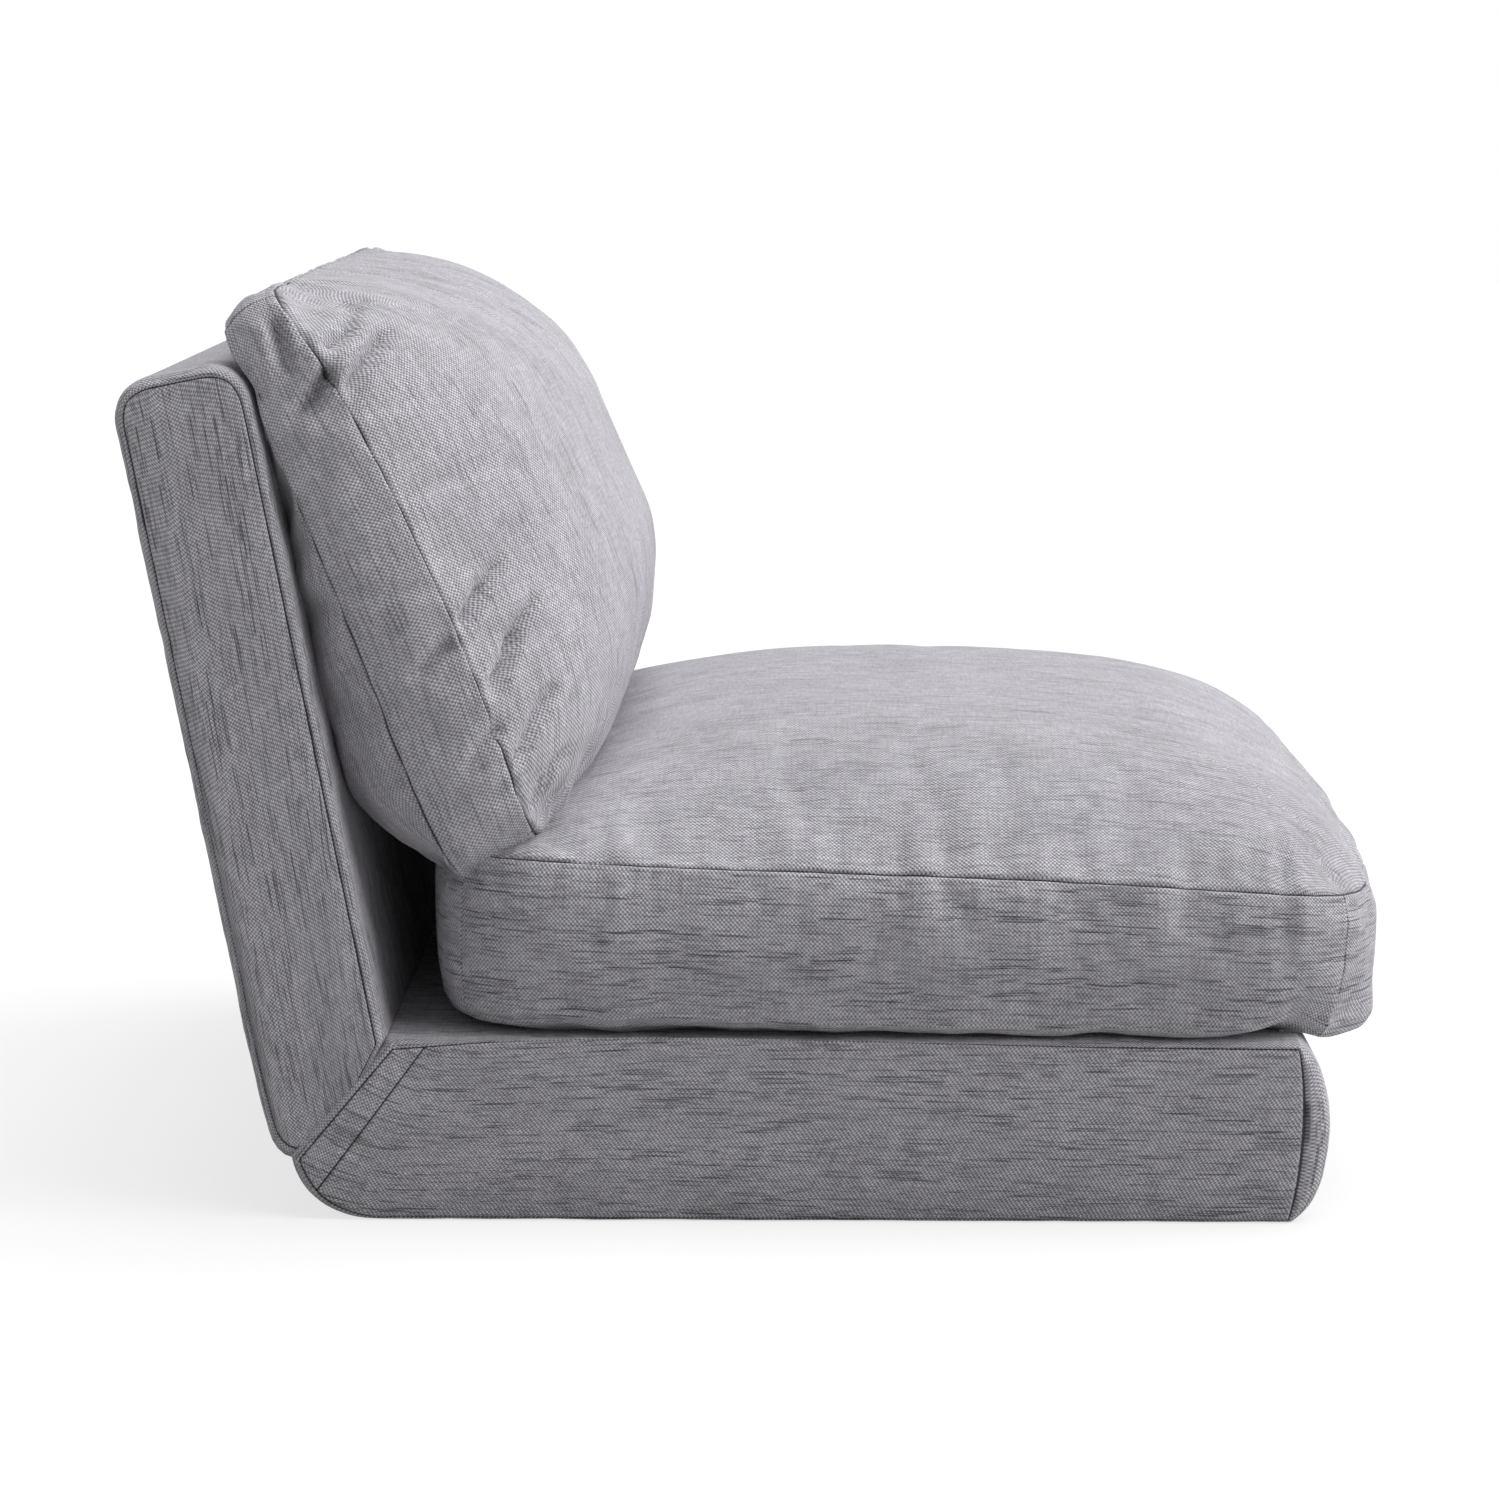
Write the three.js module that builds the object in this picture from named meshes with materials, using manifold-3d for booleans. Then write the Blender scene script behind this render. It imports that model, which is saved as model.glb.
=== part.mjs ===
// A convertible chair bed: a foam base, a seat section that flips forward on a sewn hinge,
// a backrest that reclines on two toothed ratchet hinges, and a loose crowned pillow.
// Millimetres, +Z up, +X to the front. The origin is on the floor under the middle of the base.
import * as THREE from "three";
import { mergeVertices } from "three/addons/utils/BufferGeometryUtils.js";
import Module from "manifold-3d";

const wasm = await Module();
wasm.setup();

// Driving dimensions of the upholstery
const WIDTH = 700;
const BASE_LENGTH = 750;
const BASE_HEIGHT = 135;
const BASE_FRONT_BULGE = 25;
const BASE_REAR_CHAMFER = 52;
const BASE_CHAMFER_HEIGHT = 40;
const BACK_THICKNESS = 100;
const BACK_SPINE_OUT = 30;
const BACK_LENGTH = 545;
const BACK_TOP_ROUND = 30;
const BACK_LEAN = THREE.MathUtils.degToRad(11.5);
const EDGE_ROUND = 12;
const SEAT_LENGTH = 686;
const SEAT_BAND = 118;
const SEAT_CROWN = 102;
const SEAT_FRONT_BELLY = 14;
const SEAT_SET_FORWARD = 28;
const PILLOW_HEIGHT = 464;
const PILLOW_GUSSET = 58;
const PILLOW_FRONT_CROWN = 124;
const PILLOW_REAR_CROWN = 44;
const PILLOW_BOW = 16;
const PILLOW_LEAN = THREE.MathUtils.degToRad(23.7);
const PILLOW_SET_FORWARD = 84;
const PILLOW_SET_UP = 2;

// Driving dimensions of the sewing
const COVER_WALL = 2.5;
const FILL_CLEARANCE = 0.5;
const REST_CLEARANCE = 0.3;
const PRESS_CLEARANCE = 0.8;
const TAPE_THICKNESS = 1.4;
const TAPE_WIDTH = 40;
const SEAM_LIFT = 4;
const FLIP_CLEARANCE = 3;
const HINGE_TAPE_MARGIN = 20;
const SOLE_MARGIN = 18;
const ZIP_WIDTH = 12;
const ZIP_LENGTH = 320;
const ZIP_THICKNESS = 1.2;
const ZIP_SET_IN = 0.4;
const ZIP_COIL_WIDTH = 3;
const SLIDER_LENGTH = 12;
const SLIDER_WIDTH = 8;
const SLIDER_HEIGHT = 2.6;
const PULL_LENGTH = 24;
const PULL_THICKNESS = 1.4;

// Driving dimensions of the steelwork
const PIVOT_INSET = 11;
const PIVOT_HEIGHT = 72;
const CREASE_INSET = 67;
const NOSE_RADIUS = 24;
const MITRE_CLEARANCE = 1.5;
const HOLLOW_START = THREE.MathUtils.degToRad(15);
const TUBE_RADIUS = 10;
const TUBE_WALL = 1.5;
const TUBE_BEND = 45;
const FRAME_INSET = 60;
const FRAME_FRONT_INSET = 70;
const FRAME_TOP_INSET = 60;
const PLATE_THICKNESS = 4;
const PLATE_CLEARANCE = 0.3;
const LEAF_LENGTH = 125;
const LEAF_HALF_WIDTH = 9;
const ARM_LENGTH = 145;
const ARM_ROOT_RADIUS = 15;
const PIN_RADIUS = 5;
const PIN_HEAD_RADIUS = 8;
const PIN_HEAD = 3;
const RIVET_RADIUS = 3;
const RIVET_HEAD_RADIUS = 5.5;
const RIVET_HEAD = 2;
const RIVET_PITCH = 42;
const RIVET_END_DISTANCE = 12;
const TOOTH_ROOT_RADIUS = 16.5;
const TOOTH_TIP_RADIUS = 20;
const POSITIONS = 7;
const RECLINE = THREE.MathUtils.degToRad(82.5);
const NOSE_ANGLE = THREE.MathUtils.degToRad(140);
const PAWL_LENGTH = 30;
const PAWL_EYE_RADIUS = 5.5;
const PAWL_PIN_RADIUS = 2.5;
const PAWL_THICKNESS = 3.4;
const SPRING_POST_UP = 50;
const SPRING_POST_FORWARD = -9;
const SPRING_POST_RADIUS = 2;
const SPRING_STEEL = 1;
const POCKET_CLEARANCE = 3;
const BASE_FRAME_CLEARANCE = 15;
const BACK_FRAME_CLEARANCE = 9;
const WHEEL_CLEARANCE = 0.6;
const HEEL_CLEARANCE = 0.9;
const TOOTH_SLACK = 0.45;
const SLOT_CLEARANCE = 1.2;
const LEAF_SLOT_DEPTH = 7.5;
const PAWL_PIN_HEAD = 1.25;

// Shapes of the stuffed forms: how far each ring reaches, and how square it is
const SEAM_SHARE = 0.985;
const CROWN_SHARES = [0.96, 0.9, 0.81, 0.68, 0.52, 0.3, 0];
const REAR_CROWN_SHARES = [0.96, 0.87, 0.59, 0];
const REAR_ZIP_RING = 2;
const CROWN_BLUNTNESS = 3.4;
const SEAT_BLUNTNESS = 4;
const REAR_BLUNTNESS = 9;
const CORNER_SQUARENESS = 9.5;
const CORNER_EASING = 3;
const CROWN_SQUARENESS = 2.5;
const RUNG_SHARES = [0.22, 0.61];
const PIN_HEAD_SHARE = 1.8;
const SEAT_SIDE_SHARES = [
  [0, 0],
  [0.5, 0],
  [0.9, 0],
  [0.955, 0.06],
  [0.99, 0.25],
  [1, 0.45],
  [1, 0.75],
];
const SEAT_ZIP_SHARE = 0.6;
const TOOTH_LAND_SHARE = 0.04;
const SPRING_TOUCH_SHARE = 0.45;
const BULGE_OUT_SHARE = 1 / 3;
const BULGE_UP_SHARE = 1 / 8;
const LEAST_CORNER_SHARE = 0.5;

// Facet counts and the overrun of a cut
const ROUND_STEPS = 4;
const RING_POINTS = 36;
const BEND_STEPS = 2;
const TUBE_SIDES = 8;
const PIN_SIDES = 12;
const OVERRUN = 5;
const MERGE_DISTANCE = 5e-4;

// Places worked out from the sizes above
const HALF = WIDTH / 2;
const PIVOT = new THREE.Vector2(PIVOT_INSET - BASE_LENGTH / 2, PIVOT_HEIGHT);
const CREASE = new THREE.Vector2(CREASE_INSET - BASE_LENGTH / 2, BASE_HEIGHT);
const MITRE = CREASE.clone().sub(PIVOT).normalize();
const MITRE_ANGLE = MITRE.angle();
const BACK_REAR = -BACK_SPINE_OUT;
const BACK_FRONT = BACK_THICKNESS - BACK_SPINE_OUT;
const SEAT_REAR = CREASE.x + SEAT_SET_FORWARD;
const SEAT_FRONT = SEAT_REAR + SEAT_LENGTH + SEAT_FRONT_BELLY;
const SEAT_BOTTOM = BASE_HEIGHT + SEAM_LIFT;
const FLIP_X = (BASE_LENGTH / 2 + SEAT_FRONT + FLIP_CLEARANCE) / 2;
const FLIP_Z = BASE_HEIGHT + SEAM_LIFT / 2;
const PILLOW_UP = new THREE.Vector2(-Math.sin(PILLOW_LEAN), Math.cos(PILLOW_LEAN));
const PILLOW_MIDDLE = new THREE.Vector2(SEAT_REAR + PILLOW_SET_FORWARD, SEAT_BOTTOM + SEAT_BAND + PILLOW_SET_UP)
  .addScaledVector(PILLOW_UP, PILLOW_HEIGHT / 2);
const BASE_TUBE_Y = HALF - FRAME_INSET;
const LEAF_Y = BASE_TUBE_Y + TUBE_RADIUS + PLATE_CLEARANCE;
const ARM_Y = LEAF_Y + PLATE_THICKNESS + PLATE_CLEARANCE;
const BACK_TUBE_Y = ARM_Y - PLATE_CLEARANCE - TUBE_RADIUS;
const BASE_FRAME_START = PIVOT.x + TOOTH_TIP_RADIUS + BASE_FRAME_CLEARANCE;
const BACK_FRAME_START = SPRING_POST_UP + BACK_FRAME_CLEARANCE;
const POCKET_Y = ARM_Y + PLATE_THICKNESS + PIN_HEAD + WHEEL_CLEARANCE;
const TOOTH_PITCH = RECLINE / (POSITIONS - 1);
const PAWL_NOSE = new THREE.Vector2(Math.cos(NOSE_ANGLE), Math.sin(NOSE_ANGLE)).multiplyScalar(TOOTH_ROOT_RADIUS);
const PAWL_EYE = new THREE.Vector2(Math.sin(NOSE_ANGLE), -Math.cos(NOSE_ANGLE)).multiplyScalar(PAWL_LENGTH).add(PAWL_NOSE);

// Colours, roughness and metalness of the materials
const FABRIC = { color: 0xa09ea6, roughness: 0.95, metalness: 0 };
const FOAM = { color: 0xe6dcc0, roughness: 0.9, metalness: 0 };
const FIBRE = { color: 0xf3f2ee, roughness: 1, metalness: 0 };
const NONSLIP = { color: 0x35353a, roughness: 1, metalness: 0 };
const ZIP = { color: 0x77757d, roughness: 0.8, metalness: 0 };
const PAINTED = { color: 0x2b2c2e, roughness: 0.5, metalness: 0.4 };
const STEEL = { color: 0xb4b6b8, roughness: 0.35, metalness: 0.9 };

// Turns a closed three.js geometry into a solid that can be cut and joined.
function toSolid(geometry) {
  const bare = geometry.clone();
  bare.deleteAttribute("normal");
  bare.deleteAttribute("uv");
  const merged = mergeVertices(bare, MERGE_DISTANCE);
  return new wasm.Manifold(
    new wasm.Mesh({
      numProp: 3,
      vertProperties: merged.attributes.position.array,
      triVerts: new Uint32Array(merged.index.array),
    }),
  );
}

// Turns a solid back into a three.js geometry.
function toGeometry(solid) {
  const mesh = solid.getMesh();
  const geometry = new THREE.BufferGeometry();
  geometry.setAttribute("position", new THREE.BufferAttribute(new Float32Array(mesh.vertProperties), 3));
  geometry.setIndex(new THREE.BufferAttribute(new Uint32Array(mesh.triVerts), 1));
  geometry.computeVertexNormals();
  return geometry;
}

// A closed indexed geometry from a list of points and triangles.
function indexed(points, triangles) {
  const geometry = new THREE.BufferGeometry().setFromPoints(points);
  geometry.setIndex(triangles);
  return geometry;
}

const union = (solids) => solids.reduce((all, one) => all.add(one));
const point = (x, y) => new THREE.Vector2(x, y);
const polar = (radius, angle) => point(radius * Math.cos(angle), radius * Math.sin(angle));

// A box between two corners, as a solid.
function block(x0, x1, y0, y1, z0, z1) {
  const box = new THREE.BoxGeometry(x1 - x0, y1 - y0, z1 - z0);
  box.translate((x0 + x1) / 2, (y0 + y1) / 2, (z0 + z1) / 2);
  return toSolid(box);
}

// A plate cut to an outline of X and Z, from one Y to another.
function plate(shape, y0, y1) {
  const geometry = new THREE.ExtrudeGeometry(shape, {
    depth: y1 - y0,
    bevelEnabled: false,
    curveSegments: ROUND_STEPS + 1,
  });
  geometry.rotateX(Math.PI / 2);
  geometry.translate(0, y1, 0);
  return toSolid(geometry);
}

// A rod along Y, turned from a profile of [radius, y] pairs that starts and ends on the axis.
function turned(profile, x, z) {
  const geometry = new THREE.LatheGeometry(
    profile.map(([radius, y]) => point(radius, y)),
    PIN_SIDES,
  );
  geometry.translate(x, 0, z);
  return toSolid(geometry);
}

// A plain round rod along Y.
function rod(radius, y0, y1, x, z) {
  const profile = [
    [0, y0],
    [radius, y0],
    [radius, y1],
    [0, y1],
  ];
  return turned(profile, x, z);
}

// A rod along Y with a round head at each end, as a pin or a rivet has.
function headed(radius, headRadius, head, y0, y1, x, z) {
  const profile = [
    [0, y0 - head],
    [headRadius, y0 - head],
    [headRadius, y0],
    [radius, y0],
    [radius, y1],
    [headRadius, y1],
    [headRadius, y1 + head],
    [0, y1 + head],
  ];
  return turned(profile, x, z);
}

const mirrored = (solid) => solid.mirror([0, 1, 0]);

// The backrest is drawn upright round its pivot, with u up along it and v to its front.
function leaned(solid) {
  const turn = THREE.MathUtils.radToDeg(-BACK_LEAN);
  return solid.rotate([0, turn, 0]).translate([PIVOT.x, 0, PIVOT.y]);
}

// Moves each corner of a closed outline inwards by a distance, keeping the sides parallel.
function insetOutline(outline, inset) {
  const count = outline.length;
  return outline.map((corner, i) => {
    const before = corner.clone().sub(outline[(i + count - 1) % count]).normalize();
    const after = outline[(i + 1) % count].clone().sub(corner).normalize();
    const normal = point(-before.y - after.y, before.x + after.x).normalize();
    const reach = inset / Math.max(normal.dot(point(-after.y, after.x)), LEAST_CORNER_SHARE);
    return corner.clone().addScaledVector(normal, reach);
  });
}

// A padded slab: an outline of X and Z lofted across the width, with rounded side edges.
function slab(outline, inset) {
  const half = HALF - inset;
  const stations = [];
  for (let k = 0; k <= ROUND_STEPS; k++) {
    const turn = ((k / ROUND_STEPS) * Math.PI) / 2;
    stations.push([EDGE_ROUND * (1 - Math.cos(turn)) - half, EDGE_ROUND * (1 - Math.sin(turn))]);
  }
  const far = stations.map(([y, edge]) => [-y, edge]).reverse();
  const points = [];
  for (const [y, edge] of [...stations, ...far])
    for (const p of insetOutline(outline, inset + edge)) points.push(new THREE.Vector3(p.x, y, p.y));
  return toSolid(indexed(points, loftTriangles(outline, stations.length * 2)));
}

// The triangles of a loft with flat ends: rows of one outline, first row towards -Y.
function loftTriangles(outline, rows) {
  const count = outline.length;
  const triangles = [];
  for (let row = 0; row < rows - 1; row++)
    for (let i = 0; i < count; i++) {
      const a = row * count + i;
      const b = row * count + ((i + 1) % count);
      triangles.push(a, a + count, b, b, a + count, b + count);
    }
  const last = (rows - 1) * count;
  for (const [a, b, c] of THREE.ShapeUtils.triangulateShape(outline, []))
    triangles.push(a, b, c, last + a, last + c, last + b);
  return triangles;
}

// The base's side outline: flat underneath, chamfered behind, bulging in front, with a
// mitred rear end that is hollowed to clear the round nose of the backrest.
function baseOutline() {
  const front = BASE_LENGTH / 2;
  const lineStart = PIVOT.clone().add(MITRE.clone().multiplyScalar(NOSE_RADIUS + MITRE_CLEARANCE));
  const off = point(MITRE.y, -MITRE.x).multiplyScalar(MITRE_CLEARANCE);
  const shape = new THREE.Shape();
  shape.moveTo(BASE_REAR_CHAMFER - front, 0);
  shape.lineTo(front - BASE_FRONT_BULGE, 0);
  shape.bezierCurveTo(
    front + BASE_FRONT_BULGE * BULGE_OUT_SHARE,
    BASE_HEIGHT * BULGE_UP_SHARE,
    front + BASE_FRONT_BULGE * BULGE_OUT_SHARE,
    BASE_HEIGHT * (1 - BULGE_UP_SHARE),
    front - BASE_FRONT_BULGE,
    BASE_HEIGHT,
  );
  shape.lineTo(CREASE.x + off.x, BASE_HEIGHT);
  shape.lineTo(lineStart.x + off.x, lineStart.y + off.y);
  shape.absarc(PIVOT.x, PIVOT.y, NOSE_RADIUS + MITRE_CLEARANCE, MITRE_ANGLE - HOLLOW_START, -Math.PI / 2, true);
  shape.lineTo(-front, BASE_CHAMFER_HEIGHT);
  return shape.extractPoints(ROUND_STEPS).shape;
}

// The backrest's side outline in its own frame: a round nose about the pivot, a mitred
// foot, and a top with rounded corners. X is v and Y is u.
function backOutline() {
  const mitre = MITRE_ANGLE - BACK_LEAN;
  const rise = BACK_FRONT * Math.tan(mitre);
  const shape = new THREE.Shape();
  shape.absarc(0, 0, NOSE_RADIUS, Math.PI, Math.PI * 2 + mitre, false);
  shape.lineTo(BACK_FRONT, rise);
  shape.lineTo(BACK_FRONT, BACK_LENGTH - BACK_TOP_ROUND);
  shape.absarc(BACK_FRONT - BACK_TOP_ROUND, BACK_LENGTH - BACK_TOP_ROUND, BACK_TOP_ROUND, 0, Math.PI / 2, false);
  shape.absarc(BACK_REAR + BACK_TOP_ROUND, BACK_LENGTH - BACK_TOP_ROUND, BACK_TOP_ROUND, Math.PI / 2, Math.PI, false);
  shape.lineTo(BACK_REAR, NOSE_RADIUS);
  return shape.extractPoints(ROUND_STEPS).shape;
}

// One closed ring of a cushion: a rounded rectangle with half sizes a and b.
function cushionRing(a, b, squareness, belly) {
  const ring = [];
  for (let i = 0; i < RING_POINTS; i++) {
    const turn = (i / RING_POINTS) * Math.PI * 2;
    const c = Math.cos(turn);
    const s = Math.sin(turn);
    const x = Math.sign(c) * Math.sqrt(Math.abs(c));
    const y = Math.sign(s) * Math.sqrt(Math.abs(s));
    const reach = Math.pow(Math.abs(x) ** squareness + Math.abs(y) ** squareness, -1 / squareness);
    const swell = c > 0 ? belly * (1 - (y * reach) ** 2) : 0;
    ring.push(point(a * x * reach + swell, b * y * reach));
  }
  return ring;
}

// A stuffed cushion from its levels, each {share, height, squareness}, from the middle of
// one face, round the side, to the middle of the other. share is the part of the half sizes
// that it reaches, and bow lifts the middle of the length.
function cushion({ length, width, levels, belly, bow }) {
  const points = [new THREE.Vector3(0, 0, levels[0].height + bow)];
  const rings = levels.slice(1, -1);
  for (const { share, height, squareness = CORNER_SQUARENESS } of rings) {
    for (const p of cushionRing((length / 2) * share, (width / 2) * share, squareness, belly * share)) {
      const lift = bow * (1 - (p.x / (length / 2)) ** 2);
      points.push(new THREE.Vector3(p.x, p.y, height + lift));
    }
  }
  points.push(new THREE.Vector3(0, 0, levels[levels.length - 1].height + bow));
  return indexed(points, ringTriangles(rings.length));
}

// The triangles of stacked rings closed by a point at each end.
function ringTriangles(rings) {
  const triangles = [];
  const top = rings * RING_POINTS + 1;
  const at = (ring, i) => 1 + ring * RING_POINTS + (i % RING_POINTS);
  for (let i = 0; i < RING_POINTS; i++) {
    triangles.push(0, at(0, i + 1), at(0, i));
    triangles.push(top, at(rings - 1, i), at(rings - 1, i + 1));
    for (let ring = 0; ring < rings - 1; ring++) {
      triangles.push(at(ring, i), at(ring, i + 1), at(ring + 1, i));
      triangles.push(at(ring, i + 1), at(ring + 1, i + 1), at(ring + 1, i));
    }
  }
  return triangles;
}

// Levels of a crown that rises from a seam to its middle: high and blunt, as stuffing makes
// it, and rounder in plan towards the middle where it is soft.
function crownLevels({ seam, rise, bluntness, shares = CROWN_SHARES, middleSquareness = CROWN_SQUARENESS }) {
  return shares.map((share) => ({
    share: share * SEAM_SHARE,
    height: seam + rise * (1 - share ** bluntness),
    squareness: THREE.MathUtils.lerp(middleSquareness, CORNER_SQUARENESS, share ** CORNER_EASING),
  }));
}

// Moves every point of a closed form along its normal: inwards for a positive inset.
function insetForm(geometry, inset) {
  const moved = geometry.clone();
  moved.computeVertexNormals();
  const place = moved.attributes.position;
  const normal = moved.attributes.normal;
  for (let i = 0; i < place.count; i++)
    place.setXYZ(
      i,
      place.getX(i) - inset * normal.getX(i),
      place.getY(i) - inset * normal.getY(i),
      place.getZ(i) - inset * normal.getZ(i),
    );
  return moved;
}

// The seat cushion: a flat sole, a band that bellies out between its seams, and a crown.
function seatForm() {
  const levels = [
    ...SEAT_SIDE_SHARES.map(([share, rise]) => ({ share, height: SEAT_BAND * rise })),
    { share: SEAM_SHARE, height: SEAT_BAND },
    ...crownLevels({ seam: SEAT_BAND, rise: SEAT_CROWN, bluntness: SEAT_BLUNTNESS }),
  ];
  const form = cushion({ length: SEAT_LENGTH, width: WIDTH, levels, belly: SEAT_FRONT_BELLY, bow: 0 });
  form.translate(SEAT_REAR + SEAT_LENGTH / 2, 0, SEAT_BOTTOM);
  return form;
}

// The pillow: a slack rear panel, a gusset drawn in at both seams, and a deep front crown.
// It is drawn face up with its top towards -X, then stood up to lean.
function pillowForm() {
  const rear = crownLevels({
    seam: -PILLOW_GUSSET,
    rise: -PILLOW_REAR_CROWN,
    bluntness: REAR_BLUNTNESS,
    shares: REAR_CROWN_SHARES,
    middleSquareness: CORNER_SQUARENESS,
  });
  const levels = [
    ...rear.reverse(),
    { share: SEAM_SHARE, height: -PILLOW_GUSSET },
    { share: 1, height: -PILLOW_GUSSET / 2 },
    { share: SEAM_SHARE, height: 0 },
    ...crownLevels({ seam: 0, rise: PILLOW_FRONT_CROWN, bluntness: CROWN_BLUNTNESS }),
  ];
  const form = cushion({ length: PILLOW_HEIGHT, width: WIDTH, levels, belly: 0, bow: PILLOW_BOW });
  form.rotateY(Math.PI / 2 - PILLOW_LEAN);
  form.translate(PILLOW_MIDDLE.x, 0, PILLOW_MIDDLE.y);
  return form;
}

// Everything behind the front of the backrest, moved forward by a distance.
function behindBackrest(forward) {
  return leaned(
    block(BACK_REAR - BACK_LENGTH, BACK_FRONT + forward, -WIDTH, WIDTH, -BACK_LENGTH, BACK_LENGTH * 2),
  );
}

// The four stuffed forms, each as a function of how far its surface is set in.
const SEAT_FORM = seatForm();
const PILLOW_FORM = pillowForm();
const baseAt = (inset) => slab(baseOutline(), inset);
const backAt = (inset) => leaned(slab(backOutline(), inset));
const seatAt = (inset) => toSolid(insetForm(SEAT_FORM, inset));
const pillowAt = (inset) =>
  toSolid(insetForm(PILLOW_FORM, inset))
    .subtract(seatAt(-PRESS_CLEARANCE - inset))
    .subtract(behindBackrest(PRESS_CLEARANCE + inset));

// Each zip lies in a wall that faces -X before it is tilted about Y and moved to its place.
const SEAT_ZIP = { x: SEAT_REAR, z: SEAT_BOTTOM + SEAT_BAND * SEAT_ZIP_SHARE, tilt: 0 };
const BASE_ZIP = {
  x: (BASE_REAR_CHAMFER - BASE_LENGTH) / 2,
  z: BASE_CHAMFER_HEIGHT / 2,
  tilt: -Math.atan2(BASE_REAR_CHAMFER, BASE_CHAMFER_HEIGHT),
};
const BACK_ZIP = wallPlace(PIVOT, BACK_LEAN, BACK_REAR, SPRING_POST_UP + ARM_LENGTH);
const PILLOW_ZIP = pillowZip();

// The place on a leaning wall that is out from a point by one distance and up by another.
function wallPlace(from, lean, out, up) {
  return {
    x: from.x + out * Math.cos(lean) - up * Math.sin(lean),
    z: from.y + out * Math.sin(lean) + up * Math.cos(lean),
    tilt: -lean,
  };
}

// The pillow's zip crosses the rear panel at one of its rings, below the middle.
function pillowZip() {
  const share = REAR_CROWN_SHARES[REAR_ZIP_RING] * SEAM_SHARE;
  const crown = PILLOW_REAR_CROWN * (1 - REAR_CROWN_SHARES[REAR_ZIP_RING] ** REAR_BLUNTNESS);
  const out = PILLOW_BOW * (1 - share ** 2) - PILLOW_GUSSET - crown;
  return wallPlace(PILLOW_MIDDLE, PILLOW_LEAN, out, (-share * PILLOW_HEIGHT) / 2);
}

const onWall = (solid, zip) =>
  solid.rotate([0, THREE.MathUtils.radToDeg(zip.tilt), 0]).translate([zip.x, 0, zip.z]);

// The block that a zip's slot or tape takes out of its wall.
function zipBlock(zip, clearance) {
  const length = ZIP_LENGTH / 2 + clearance;
  const width = ZIP_WIDTH / 2 + clearance;
  return onWall(block(-ZIP_WIDTH, ZIP_WIDTH, -length, length, -width, width), zip);
}

// A sewn cover: the wall of a form with a slot for its zip.
const cover = (formAt, zip) => formAt(0).subtract(formAt(COVER_WALL)).subtract(zipBlock(zip, REST_CLEARANCE));

// A zip's tape with its woven coil, which follow the wall of the form that they close.
function zipTape(formAt, zip) {
  const half = ZIP_COIL_WIDTH / 2;
  const coil = onWall(block(-ZIP_WIDTH, ZIP_WIDTH, -ZIP_LENGTH / 2, ZIP_LENGTH / 2, -half, half), zip);
  const tape = formAt(ZIP_SET_IN + REST_CLEARANCE).subtract(formAt(ZIP_SET_IN + ZIP_THICKNESS));
  const raised = formAt(ZIP_SET_IN).subtract(formAt(ZIP_SET_IN + ZIP_THICKNESS));
  return tape.intersect(zipBlock(zip, 0)).add(raised.intersect(coil));
}

// A zip slider at the -Y end of its tape, with its pull hanging down.
function slider(zip) {
  const out = ZIP_SET_IN - REST_CLEARANCE;
  const start = REST_CLEARANCE - ZIP_LENGTH / 2;
  const width = SLIDER_WIDTH / 2;
  const body = block(out - SLIDER_HEIGHT, out, start, start + SLIDER_LENGTH, -width, width);
  const shape = new THREE.Shape();
  shape.moveTo(-width / 2, 0);
  shape.lineTo(-width, -PULL_LENGTH);
  shape.absarc(0, -PULL_LENGTH, width, Math.PI, Math.PI * 2, false);
  shape.lineTo(width / 2, 0);
  const pull = new THREE.ExtrudeGeometry(shape, {
    depth: PULL_THICKNESS,
    bevelEnabled: false,
    curveSegments: ROUND_STEPS,
  });
  pull.rotateX(Math.PI / 2);
  pull.rotateZ(Math.PI / 2);
  pull.translate(out - SLIDER_HEIGHT, start + SLIDER_LENGTH / 2, PULL_THICKNESS / 2);
  return onWall(body.add(toSolid(pull)), zip);
}

// A welded ladder of round tube: two side tubes from x 0, bent round into a cross tube at
// their far end, and plain rungs between them. Its tube is hollow and open at both ends.
function ladderFrame(length, halfWidth, rungs) {
  const made = [0, TUBE_WALL].map((inset) => {
    const radius = TUBE_RADIUS - inset;
    const sides = sweptTube(framePath(length, halfWidth, inset ? OVERRUN : 0), radius);
    return rungs.reduce((all, x) => all.add(rungTube(radius, halfWidth, x)), sides);
  });
  return made[0].subtract(made[1]);
}

// The centreline of a frame's bent tube, run on by an overrun at both ends.
function framePath(length, halfWidth, overrun) {
  const path = new THREE.Path();
  path.moveTo(-overrun, -halfWidth);
  path.lineTo(length - TUBE_BEND, -halfWidth);
  path.absarc(length - TUBE_BEND, TUBE_BEND - halfWidth, TUBE_BEND, -Math.PI / 2, 0, false);
  path.lineTo(length, halfWidth - TUBE_BEND);
  path.absarc(length - TUBE_BEND, halfWidth - TUBE_BEND, TUBE_BEND, 0, Math.PI / 2, false);
  path.lineTo(-overrun, halfWidth);
  const points = path.getPoints(BEND_STEPS);
  return points.filter((p, i) => i === 0 || p.distanceTo(points[i - 1]) > TUBE_WALL);
}

function rungTube(radius, halfWidth, x) {
  const tube = new THREE.CylinderGeometry(radius, radius, halfWidth * 2, TUBE_SIDES);
  tube.translate(x, 0, 0);
  return toSolid(tube);
}

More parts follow.
